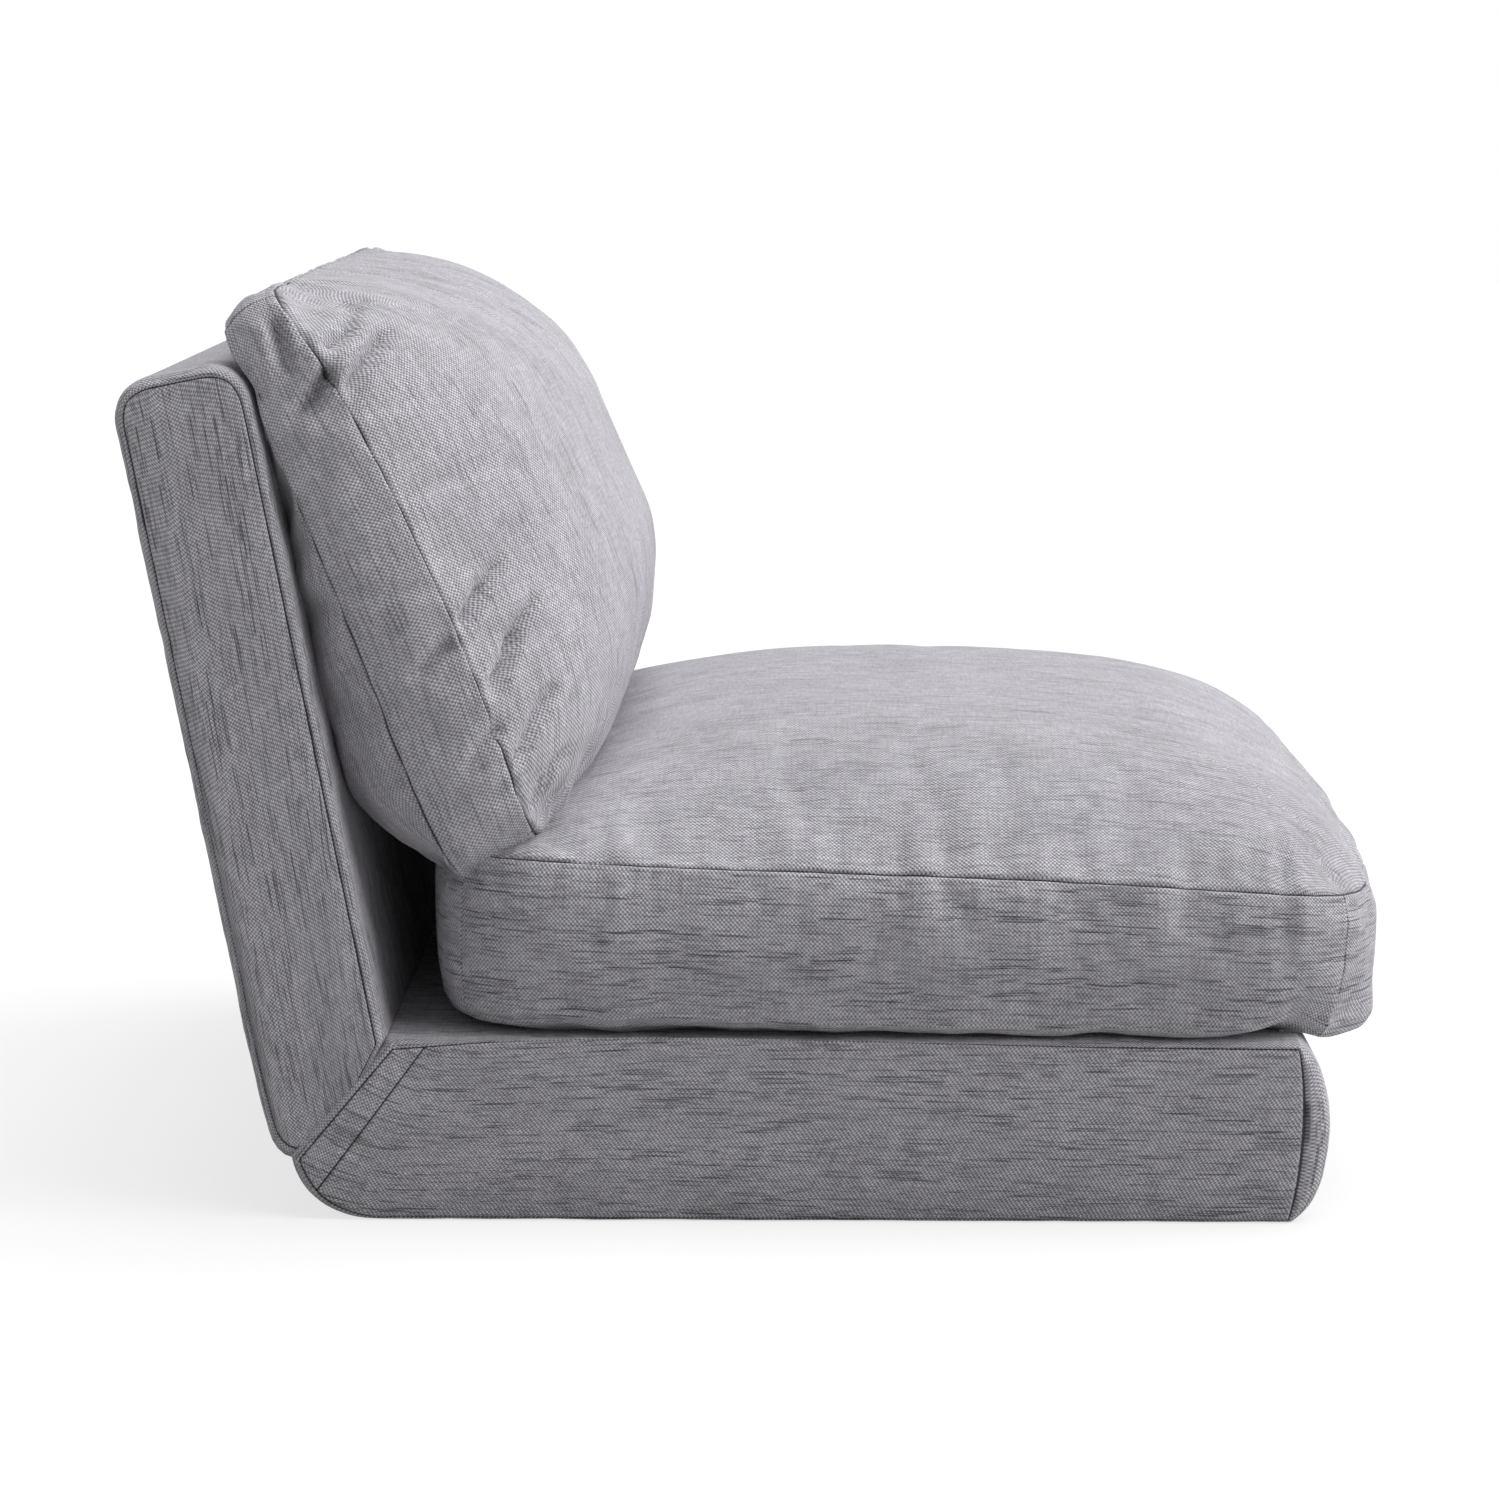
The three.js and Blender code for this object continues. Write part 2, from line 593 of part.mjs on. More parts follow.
// A solid round tube swept along a flat path in X and Y, mitred at each point of it.
function sweptTube(path, radius) {
  const points = [];
  path.forEach((p, i) => {
    const before = p.clone().sub(path[Math.max(i - 1, 0)]).normalize();
    const after = path[Math.min(i + 1, path.length - 1)].clone().sub(p).normalize();
    const ahead = before.clone().add(after).normalize();
    const widen = 1 / Math.max(ahead.dot(before), ahead.dot(after));
    for (let k = 0; k < TUBE_SIDES; k++) {
      const turn = (k / TUBE_SIDES) * Math.PI * 2;
      const across = radius * Math.cos(turn) * widen;
      points.push(new THREE.Vector3(p.x - ahead.y * across, p.y + ahead.x * across, radius * Math.sin(turn)));
    }
  });
  return toSolid(indexed(points, tubeTriangles(path.length)));
}

function tubeTriangles(rings) {
  const triangles = [];
  const last = (rings - 1) * TUBE_SIDES;
  for (let k = 0; k < TUBE_SIDES; k++)
    for (let ring = 0; ring < rings - 1; ring++) {
      const a = ring * TUBE_SIDES + k;
      const b = ring * TUBE_SIDES + ((k + 1) % TUBE_SIDES);
      triangles.push(a, b, a + TUBE_SIDES, b, b + TUBE_SIDES, a + TUBE_SIDES);
    }
  for (let k = 1; k < TUBE_SIDES - 1; k++)
    triangles.push(0, k + 1, k, last, last + k, last + k + 1);
  return triangles;
}

// The +Y side's rivets: their distances from the pivot along a leaf or an arm.
const rivetPlaces = (length) => [length - RIVET_END_DISTANCE - RIVET_PITCH, length - RIVET_END_DISTANCE];

const rivetHole = (x, z) =>
  rod(RIVET_RADIUS + PLATE_CLEARANCE, BASE_TUBE_Y - TUBE_RADIUS * 2, ARM_Y + PLATE_THICKNESS + OVERRUN, x, z);

const rivet = (tubeY, plateY, x, z) =>
  headed(
    RIVET_RADIUS,
    RIVET_HEAD_RADIUS,
    RIVET_HEAD,
    tubeY - TUBE_RADIUS - PLATE_CLEARANCE,
    plateY + PLATE_THICKNESS + PLATE_CLEARANCE,
    x,
    z,
  );

const bothSides = (solid) => solid.add(mirrored(solid));

// The side outline of the ratchet wheel. Each gap between its teeth has a steep face that
// stops the pawl as the backrest leans back, and a slope that it rides as it comes up.
function wheelOutline(growth, turn) {
  const root = TOOTH_ROOT_RADIUS + growth;
  const tipRadius = TOOTH_TIP_RADIUS + growth;
  const first = NOSE_ANGLE - TOOTH_PITCH + turn;
  const wheel = new THREE.Shape();
  for (let k = 0; k <= POSITIONS; k++) {
    const start = polar(root, first + k * TOOTH_PITCH);
    const tip = polar(tipRadius, first + (k + TOOTH_LAND_SHARE) * TOOTH_PITCH);
    if (k === 0) wheel.moveTo(start.x, start.y);
    else wheel.lineTo(start.x, start.y);
    wheel.lineTo(tip.x, tip.y);
  }
  wheel.absarc(0, 0, root, first + (POSITIONS + 1) * TOOTH_PITCH, first + Math.PI * 2, false);
  return wheel;
}

// The base leaf: a ratchet wheel about the pivot with a bar that runs forward to the tube.
function ratchetLeaf() {
  const wheel = wheelOutline(0, BACK_LEAN);
  const bar = new THREE.Shape();
  bar.moveTo(0, -LEAF_HALF_WIDTH);
  bar.absarc(LEAF_LENGTH - LEAF_HALF_WIDTH, 0, LEAF_HALF_WIDTH, -Math.PI / 2, Math.PI / 2, false);
  bar.lineTo(0, LEAF_HALF_WIDTH);
  const y1 = LEAF_Y + PLATE_THICKNESS;
  const solid = plate(wheel, LEAF_Y, y1).add(plate(bar, LEAF_Y, y1));
  const bored = solid.subtract(rod(PIN_RADIUS + PLATE_CLEARANCE, LEAF_Y - OVERRUN, y1 + OVERRUN, 0, 0));
  return rivetPlaces(LEAF_LENGTH).reduce((all, x) => all.subtract(rivetHole(x, 0)), bored);
}

// The post that holds the pawl's spring, with a head at its inner end.
function springPost() {
  const x = SPRING_POST_FORWARD;
  const head = rod(SPRING_POST_RADIUS * PIN_HEAD_SHARE, LEAF_Y - SPRING_STEEL, LEAF_Y, x, SPRING_POST_UP);
  return head.add(rod(SPRING_POST_RADIUS, LEAF_Y - SPRING_STEEL, ARM_Y + PLATE_CLEARANCE, x, SPRING_POST_UP));
}

// The back arm: a round root about the pivot, a bar up to the back frame's tube, the pawl's
// ear, and a post for its spring. It is drawn in the backrest's own frame.
function backArm() {
  const y1 = ARM_Y + PLATE_THICKNESS;
  const bar = new THREE.Shape();
  bar.absarc(0, 0, ARM_ROOT_RADIUS, Math.PI, Math.PI * 2, false);
  bar.lineTo(ARM_ROOT_RADIUS, PAWL_EYE.y);
  bar.lineTo(LEAF_HALF_WIDTH, SPRING_POST_UP + ARM_ROOT_RADIUS);
  bar.absarc(0, ARM_LENGTH - LEAF_HALF_WIDTH, LEAF_HALF_WIDTH, 0, Math.PI, false);
  bar.lineTo(-LEAF_HALF_WIDTH, SPRING_POST_UP + ARM_ROOT_RADIUS);
  bar.lineTo(-ARM_ROOT_RADIUS, PAWL_EYE.y);
  const post = springPost();
  const bore = rod(PIN_RADIUS + PLATE_CLEARANCE, ARM_Y - OVERRUN, y1 + OVERRUN, 0, 0);
  const eye = rod(PAWL_PIN_RADIUS + PLATE_CLEARANCE, ARM_Y - OVERRUN, y1 + OVERRUN, PAWL_EYE.x, PAWL_EYE.y);
  const bored = plate(bar, ARM_Y, y1).add(post).subtract(bore).subtract(eye);
  return rivetPlaces(ARM_LENGTH).reduce((all, z) => all.subtract(rivetHole(0, z)), bored);
}

// The pawl: an eye on its pin and a nose that drops into the gap before a tooth. The nose
// is what the teeth leave of it, with a clearance all round.
function pawl() {
  const back = polar(TOOTH_ROOT_RADIUS + PAWL_EYE_RADIUS, NOSE_ANGLE);
  const heel = polar(TOOTH_TIP_RADIUS + HEEL_CLEARANCE, NOSE_ANGLE - TOOTH_PITCH * (1 - TOOTH_LAND_SHARE));
  const shape = new THREE.Shape();
  shape.moveTo(back.x, back.y);
  shape.lineTo(PAWL_NOSE.x, PAWL_NOSE.y);
  shape.lineTo(heel.x, heel.y);
  shape.absarc(PAWL_EYE.x, PAWL_EYE.y, PAWL_EYE_RADIUS, NOSE_ANGLE - Math.PI, NOSE_ANGLE, false);
  const y0 = LEAF_Y + PLATE_CLEARANCE;
  const y1 = y0 + PAWL_THICKNESS;
  const bore = rod(PAWL_PIN_RADIUS + PLATE_CLEARANCE, y0 - OVERRUN, y1 + OVERRUN, PAWL_EYE.x, PAWL_EYE.y);
  const slack = TOOTH_SLACK / TOOTH_ROOT_RADIUS;
  const teeth = [-slack, 0, slack].map((turn) =>
    plate(wheelOutline(WHEEL_CLEARANCE, turn), y0 - OVERRUN, y1 + OVERRUN),
  );
  return plate(shape, y0, y1).subtract(union([bore, ...teeth]));
}

// The leaf spring: an eye round its post, and a blade that lies along the pawl's back.
function pawlSpring() {
  const post = point(SPRING_POST_FORWARD, SPRING_POST_UP);
  const inner = SPRING_POST_RADIUS + PLATE_CLEARANCE;
  const outer = inner + SPRING_STEEL;
  const out = polar(1, NOSE_ANGLE);
  const along = point(-out.y, out.x);
  const reach = PAWL_LENGTH * SPRING_TOUCH_SHARE;
  const touch = PAWL_EYE.clone()
    .addScaledVector(out, PAWL_EYE_RADIUS + PLATE_CLEARANCE)
    .addScaledVector(along, reach);
  const blade = new THREE.Shape();
  blade.moveTo(post.x - inner, post.y);
  blade.lineTo(post.x - outer, post.y);
  blade.lineTo(touch.x - SPRING_STEEL, touch.y);
  blade.lineTo(touch.x, touch.y);
  const ring = new THREE.Shape();
  ring.absarc(post.x, post.y, outer, 0, Math.PI * 2, false);
  const y0 = LEAF_Y + PLATE_CLEARANCE;
  const y1 = y0 + PAWL_THICKNESS;
  const hole = rod(inner, y0 - OVERRUN, y1 + OVERRUN, post.x, post.y);
  return plate(ring, y0, y1).add(plate(blade, y0, y1)).subtract(hole);
}

// What the steelwork takes out of the base foam: channels cut up from below for the frame,
// and a pocket at each side for the leaf.
function baseFoamCuts(start, length, rungs) {
  const wide = TUBE_RADIUS + POCKET_CLEARANCE;
  const top = PIVOT_HEIGHT + wide;
  const end = start + length + wide;
  const side = block(start - OVERRUN, end, BASE_TUBE_Y - wide, BASE_TUBE_Y + wide, -OVERRUN, top);
  const corner = block(end - TUBE_BEND - wide, end, BASE_TUBE_Y - TUBE_BEND, BASE_TUBE_Y + wide, -OVERRUN, top);
  const pocket = block(
    -BASE_LENGTH,
    PIVOT.x + LEAF_LENGTH + POCKET_CLEARANCE,
    BASE_TUBE_Y,
    POCKET_Y,
    -OVERRUN,
    PIVOT_HEIGHT + LEAF_HALF_WIDTH + POCKET_CLEARANCE,
  );
  const across = [...rungs, length].map((x) =>
    block(start + x - wide, start + x + wide, -BASE_TUBE_Y, BASE_TUBE_Y, -OVERRUN, top),
  );
  return union([bothSides(side.add(pocket).add(corner)), ...across]);
}

// What the steelwork takes out of the backrest foam, cut in from behind.
function backFoamCuts(start, length, rungs) {
  const wide = TUBE_RADIUS + POCKET_CLEARANCE;
  const rear = BACK_REAR - OVERRUN;
  const end = start + length + wide;
  const side = block(rear, wide, BACK_TUBE_Y - wide, BACK_TUBE_Y + wide, start - OVERRUN, end);
  const corner = block(rear, wide, BACK_TUBE_Y - TUBE_BEND, BACK_TUBE_Y + wide, end - TUBE_BEND - wide, end);
  const pocket = block(
    rear,
    PAWL_EYE.x + PAWL_EYE_RADIUS + ARM_ROOT_RADIUS,
    LEAF_Y - PIN_HEAD - POCKET_CLEARANCE,
    POCKET_Y,
    -BACK_THICKNESS,
    ARM_LENGTH + POCKET_CLEARANCE,
  );
  const across = [...rungs, length].map((x) =>
    block(rear, wide, -BACK_TUBE_Y, BACK_TUBE_Y, start + x - wide, start + x + wide),
  );
  return leaned(union([bothSides(side.add(pocket).add(corner)), ...across]));
}

// The slot in the nose of the backrest cover that the base leaf passes through as it turns.
function noseSlot() {
  const half = LEAF_HALF_WIDTH + POCKET_CLEARANCE;
  const slot = block(
    -half,
    BACK_FRONT,
    LEAF_Y - WHEEL_CLEARANCE,
    LEAF_Y + PLATE_THICKNESS + PLATE_CLEARANCE,
    -NOSE_RADIUS - OVERRUN,
    LEAF_HALF_WIDTH + SLOT_CLEARANCE,
  );
  return leaned(bothSides(slot));
}

// The slot in the base cover's hollow that the base leaf comes out of.
function leafSlot() {
  const half = LEAF_HALF_WIDTH + WHEEL_CLEARANCE;
  const slot = block(
    PIVOT.x,
    PIVOT.x + NOSE_RADIUS + MITRE_CLEARANCE + LEAF_SLOT_DEPTH,
    LEAF_Y - WHEEL_CLEARANCE,
    LEAF_Y + PLATE_THICKNESS + WHEEL_CLEARANCE,
    PIVOT_HEIGHT - half,
    PIVOT_HEIGHT + half,
  );
  return bothSides(slot);
}

// The opening in the sole of the base cover and the non-slip cloth that is sewn into it.
function soleBlock(clearance, inset) {
  const front = BASE_LENGTH / 2 - BASE_FRONT_BULGE - SOLE_MARGIN - clearance;
  const rear = BASE_REAR_CHAMFER + SOLE_MARGIN + clearance - BASE_LENGTH / 2;
  const half = HALF - EDGE_ROUND - SOLE_MARGIN - clearance;
  return block(rear, front, -half, half, -inset, COVER_WALL + inset);
}

// One tape of the sewn hinge between base and seat, along the front edge.
function hingeTape(x0, x1, z0) {
  const half = HALF - EDGE_ROUND - HINGE_TAPE_MARGIN;
  return block(x0, x1, -half, half, z0, z0 + TAPE_THICKNESS);
}

const root = new THREE.Group();

// Adds one named piece to the model.
function piece(name, solid, finish) {
  const mesh = new THREE.Mesh(toGeometry(solid), new THREE.MeshStandardMaterial(finish));
  mesh.name = name;
  root.add(mesh);
}

// Adds a piece at each side of the chair: drawn at +Y, which is on a sitter's left.
function pieceEachSide(name, solid, finish) {
  piece(`${name}_left`, solid, finish);
  piece(`${name}_right`, mirrored(solid), finish);
}

const pinSolid = headed(
  PIN_RADIUS,
  PIN_HEAD_RADIUS,
  PIN_HEAD,
  LEAF_Y - PLATE_CLEARANCE,
  ARM_Y + PLATE_THICKNESS + PLATE_CLEARANCE,
  0,
  0,
);

// The base section, which stays on the floor.
function buildBase() {
  const start = BASE_FRAME_START;
  const length = BASE_LENGTH / 2 - FRAME_FRONT_INSET - start;
  const rungs = RUNG_SHARES.map((share) => share * length);
  const fill = COVER_WALL + FILL_CLEARANCE;
  const shell = cover(baseAt, BASE_ZIP).subtract(leafSlot()).subtract(soleBlock(0, OVERRUN));
  piece("base_cover", shell, FABRIC);
  piece("base_sole_cloth", soleBlock(REST_CLEARANCE, 0), NONSLIP);
  piece("base_foam", baseAt(fill).subtract(baseFoamCuts(start, length, rungs)), FOAM);
  const holes = union(rivetPlaces(LEAF_LENGTH).map((x) => rivetHole(PIVOT.x + x, PIVOT.y)));
  const frame = ladderFrame(length, BASE_TUBE_Y, rungs).translate([start, 0, PIVOT.y]);
  piece("base_frame", frame.subtract(bothSides(holes)), PAINTED);
  pieceEachSide("ratchet_leaf", ratchetLeaf().translate([PIVOT.x, 0, PIVOT.y]), STEEL);
  pieceEachSide("pivot_pin", pinSolid.translate([PIVOT.x, 0, PIVOT.y]), STEEL);
  rivetPlaces(LEAF_LENGTH).forEach((x, i) => {
    const solid = rivet(BASE_TUBE_Y, LEAF_Y, PIVOT.x + x, PIVOT.y);
    pieceEachSide(`base_rivet_${i + 1}`, solid, STEEL);
  });
  piece("base_zip", zipTape(baseAt, BASE_ZIP), ZIP);
  piece("base_zip_slider", slider(BASE_ZIP), STEEL);
  const tapeBack = FLIP_X - TAPE_WIDTH - HINGE_TAPE_MARGIN;
  piece("base_hinge_tape", hingeTape(tapeBack, FLIP_X - REST_CLEARANCE, BASE_HEIGHT + REST_CLEARANCE), FABRIC);
}

// The backrest section, which turns about the pivot pins.
function buildBack() {
  const length = BACK_LENGTH - FRAME_TOP_INSET - BACK_FRAME_START;
  const rungs = RUNG_SHARES.map((share) => share * length);
  const fill = COVER_WALL + FILL_CLEARANCE;
  piece("back_cover", cover(backAt, BACK_ZIP).subtract(noseSlot()), FABRIC);
  piece("back_foam", backAt(fill).subtract(backFoamCuts(BACK_FRAME_START, length, rungs)), FOAM);
  const holes = union(rivetPlaces(ARM_LENGTH).map((z) => rivetHole(0, z)));
  const upright = ladderFrame(length, BACK_TUBE_Y, rungs).rotate([0, -90, 0]).translate([0, 0, BACK_FRAME_START]);
  piece("back_frame", leaned(upright.subtract(bothSides(holes))), PAINTED);
  pieceEachSide("back_arm", leaned(backArm()), STEEL);
  rivetPlaces(ARM_LENGTH).forEach((z, i) => {
    pieceEachSide(`back_rivet_${i + 1}`, leaned(rivet(BACK_TUBE_Y, ARM_Y, 0, z)), STEEL);
  });
  const pin = headed(
    PAWL_PIN_RADIUS,
    PAWL_PIN_RADIUS * PIN_HEAD_SHARE,
    PAWL_PIN_HEAD,
    LEAF_Y,
    ARM_Y + PLATE_THICKNESS + PLATE_CLEARANCE,
    PAWL_EYE.x,
    PAWL_EYE.y,
  );
  pieceEachSide("pawl_pin", leaned(pin), STEEL);
  pieceEachSide("pawl", leaned(pawl()), STEEL);
  pieceEachSide("pawl_spring", leaned(pawlSpring()), STEEL);
  piece("back_zip", zipTape(backAt, BACK_ZIP), ZIP);
  piece("back_zip_slider", slider(BACK_ZIP), STEEL);
}

// The seat section, which flips forward on its tape: foam below, a fibre crown above.
function buildSeat() {
  piece("seat_cover", cover(seatAt, SEAT_ZIP), FABRIC);
  const stuffing = seatAt(COVER_WALL + FILL_CLEARANCE);
  const split = SEAT_BOTTOM + SEAT_BAND;
  const below = block(-BASE_LENGTH, BASE_LENGTH, -WIDTH, WIDTH, -BASE_HEIGHT, split);
  const above = block(-BASE_LENGTH, BASE_LENGTH, -WIDTH, WIDTH, split + REST_CLEARANCE, split + SEAT_CROWN * 2);
  piece("seat_foam", stuffing.intersect(below), FOAM);
  piece("seat_crown_fill", stuffing.intersect(above), FIBRE);
  piece("seat_zip", zipTape(seatAt, SEAT_ZIP), ZIP);
  piece("seat_zip_slider", slider(SEAT_ZIP), STEEL);
  const low = SEAT_BOTTOM - REST_CLEARANCE - TAPE_THICKNESS;
  piece("seat_hinge_tape", hingeTape(FLIP_X - TAPE_WIDTH, FLIP_X - REST_CLEARANCE, low), FABRIC);
}

// The loose pillow, pressed to the shape of the seat and the backrest that it leans on.
function buildPillow() {
  piece("pillow_cover", cover(pillowAt, PILLOW_ZIP), FABRIC);
  piece("pillow_fill", pillowAt(COVER_WALL + FILL_CLEARANCE), FIBRE);
  piece("pillow_zip", zipTape(pillowAt, PILLOW_ZIP), ZIP);
  piece("pillow_zip_slider", slider(PILLOW_ZIP), STEEL);
}

buildBase();
buildBack();
buildSeat();
buildPillow();

export default root;
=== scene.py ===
import math
from types import SimpleNamespace

import bpy
import numpy as np
from mathutils import Euler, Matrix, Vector
from mathutils.bvhtree import BVHTree
from mathutils.kdtree import KDTree
from mathutils.noise import noise


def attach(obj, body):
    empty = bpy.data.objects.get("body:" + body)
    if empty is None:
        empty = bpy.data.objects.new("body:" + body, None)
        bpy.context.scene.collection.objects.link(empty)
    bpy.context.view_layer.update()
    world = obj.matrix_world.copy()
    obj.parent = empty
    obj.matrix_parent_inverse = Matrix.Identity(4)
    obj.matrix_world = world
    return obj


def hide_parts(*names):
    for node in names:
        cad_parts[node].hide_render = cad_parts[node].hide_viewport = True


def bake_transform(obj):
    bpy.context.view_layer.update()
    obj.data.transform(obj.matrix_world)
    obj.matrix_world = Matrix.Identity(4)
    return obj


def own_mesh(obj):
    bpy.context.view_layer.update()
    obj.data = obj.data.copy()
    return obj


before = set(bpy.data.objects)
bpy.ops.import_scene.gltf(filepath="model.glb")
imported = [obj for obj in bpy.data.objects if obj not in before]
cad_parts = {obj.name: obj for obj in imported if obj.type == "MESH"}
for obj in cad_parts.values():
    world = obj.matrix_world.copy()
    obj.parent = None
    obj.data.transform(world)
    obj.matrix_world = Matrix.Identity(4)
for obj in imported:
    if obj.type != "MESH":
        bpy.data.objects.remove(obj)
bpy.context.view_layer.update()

# The camera: its place and its turn
CAMERA_PLACE = (-0.00927, -2.97, 0.819)
CAMERA_TURN = (math.radians(90 - 10.19), 0, math.radians(0.79))

# The chair's own sizes
HALF_WIDTH = 0.35
PIVOT = np.array([-0.364, 0.072])
CREASE = np.array([-0.308, 0.135])
BACK_LEAN = math.radians(11.5)
NOSE_RADIUS = 0.024
BACK_FRONT_LOW = 0.067
BACK_FRONT_HIGH = 0.075
BACK_FOOT_RISE = 0.0503
BACK_REAR_LOW = -0.034
BACK_REAR_HIGH = -0.025
BACK_TOP = 0.549
PILLOW_LEAN = math.radians(23.7)
PILLOW_MIDDLE = np.array([-0.2895, 0.4750])
SEAT_CENTRE_X = 0.066
SEAT_HALF_LENGTH = 0.346
SEAT_BOTTOM = 0.137
SEAT_BAND = 0.120
SEAT_SEAM_SLOPE = 0.035
SEAT_BELLY = 0.012
SEAT_SIDE_BELLY = 0.008
SEAT_CROWN = 0.0925
SEAT_CROWN_TILT = 0.007
SEAT_BLUNTNESS = 4.6
SEAT_REAR_BLUNTNESS = 2.7
SEAT_FRONT_FULLNESS = 0.012
SEAT_FRONT_DROP = 0.010
SEAT_SAG = 0.014
SEAT_FRONT_TUCK = 0.015
SEAT_LIP = 0.007
PILLOW_HALF_HEIGHT = 0.232
PILLOW_GUSSET = 0.058
PILLOW_CROWN = 0.124
PILLOW_REAR_CROWN = 0.076
PILLOW_REAR_BOW = 0.022
PILLOW_BOTTOM_SAG = 0.014
PILLOW_TOP_DROP = 0.010
PILLOW_TOP_SET_BACK = 0.004
PILLOW_BOW = 0.018
PILLOW_TOP_TUCK = 0.010
PILLOW_TOP_PINCH = 0.020
PILLOW_BLUNTNESS = 3.4
PILLOW_REAR_BLUNTNESS = 3.2
PILLOW_SIDE_BLUNTNESS = 9.0
PILLOW_EAR_RISE = 0.010
PILLOW_EAR_BACK = 0.006
CORNER_SQUARENESS = 9.5
CROWN_SQUARENESS = 2.5
SEAM_SHARE = 0.985
PRESS_GAP = 0.0015
CROWN_SLUBS = 0.55

# The zips: the lean of each one's wall, and the sizes of the valley that each lies in
ZIP_LEANS = {"base": math.atan2(0.052, 0.040), "back": BACK_LEAN, "seat": 0.0, "pillow": PILLOW_LEAN}
ZIP_HALF_LENGTH = 0.160
ZIP_HALF_WIDTH = 0.006
VALLEY_STEP = 0.0017
VALLEY_HALF = 0.030
VALLEY_FADE = 0.035
VALLEY_END_FADE = 0.085

# The seat's hinge: how its tapes' outer corners are cut off
TAPE_CUT = 0.034
TAPE_CUT_RUN = 0.065

# The mesh: distances of the fine rows from a seam, and the size of the other cells
SEAM_ROWS = (0.0, 0.0016, 0.004, 0.009)
CELL = 0.0085
SEAM_DEPTH = 0.0022
SEAM_INSET = 0.0075


def add_camera():
    data = bpy.data.cameras.new("camera")
    data.lens = 90
    data.sensor_width = 36
    camera = bpy.data.objects.new("camera", data)
    camera.location = CAMERA_PLACE
    camera.rotation_euler = CAMERA_TURN
    bpy.context.scene.collection.objects.link(camera)
    bpy.context.scene.camera = camera


# ---------------------------------------------------------------- grids and forms


def grid_lines(length, seams=()):
    """Grid lines from -1 to 1 along a side: fine rows beside both ends and beside each seam inside it."""
    half = length / 2
    stops = [-half] + [s * half for s in seams] + [half]
    lines = set()
    for start, end in zip(stops, stops[1:]):
        near = [d for d in SEAM_ROWS if d < (end - start) / 3]
        lines.update(start + d for d in near)
        lines.update(end - d for d in near)
        first, last = start + near[-1], end - near[-1]
        count = max(1, round((last - first) / CELL))
        lines.update(first + (last - first) * k / count for k in range(count + 1))
    merged = []
    for line in sorted(lines):
        if not merged or line - merged[-1] > 1e-6:
            merged.append(line)
    return np.array(merged) / half


def square_edge(us, vs):
    """The edge of a grid, walked round once from its corner (-1, -1), as rows of (u, v)."""
    south = [(u, -1.0) for u in us[:-1]]
    east = [(1.0, v) for v in vs[:-1]]
    north = [(u, 1.0) for u in us[:0:-1]]
    west = [(-1.0, v) for v in vs[:0:-1]]
    return np.array(south + east + north + west)


def edge_ids(nu, nv):
    """The vertex numbers of the edge of an nu by nv grid of cells, in square_edge's order."""
    south = [i * (nv + 1) for i in range(nu)]
    east = [nu * (nv + 1) + j for j in range(nv)]
    north = [i * (nv + 1) + nv for i in range(nu, 0, -1)]
    west = [j for j in range(nv, 0, -1)]
    return np.array(south + east + north + west)


def running_length(points, axis):
    """How far along its row each point of a grid is, counted from the row's middle."""
    steps = np.linalg.norm(np.diff(points, axis=axis), axis=-1)
    total = np.cumsum(steps, axis=axis)
    start = np.zeros_like(np.take(total, [0], axis=axis))
    total = np.concatenate([start, total], axis=axis)
    return total - np.take(total, [total.shape[axis] // 2], axis=axis)


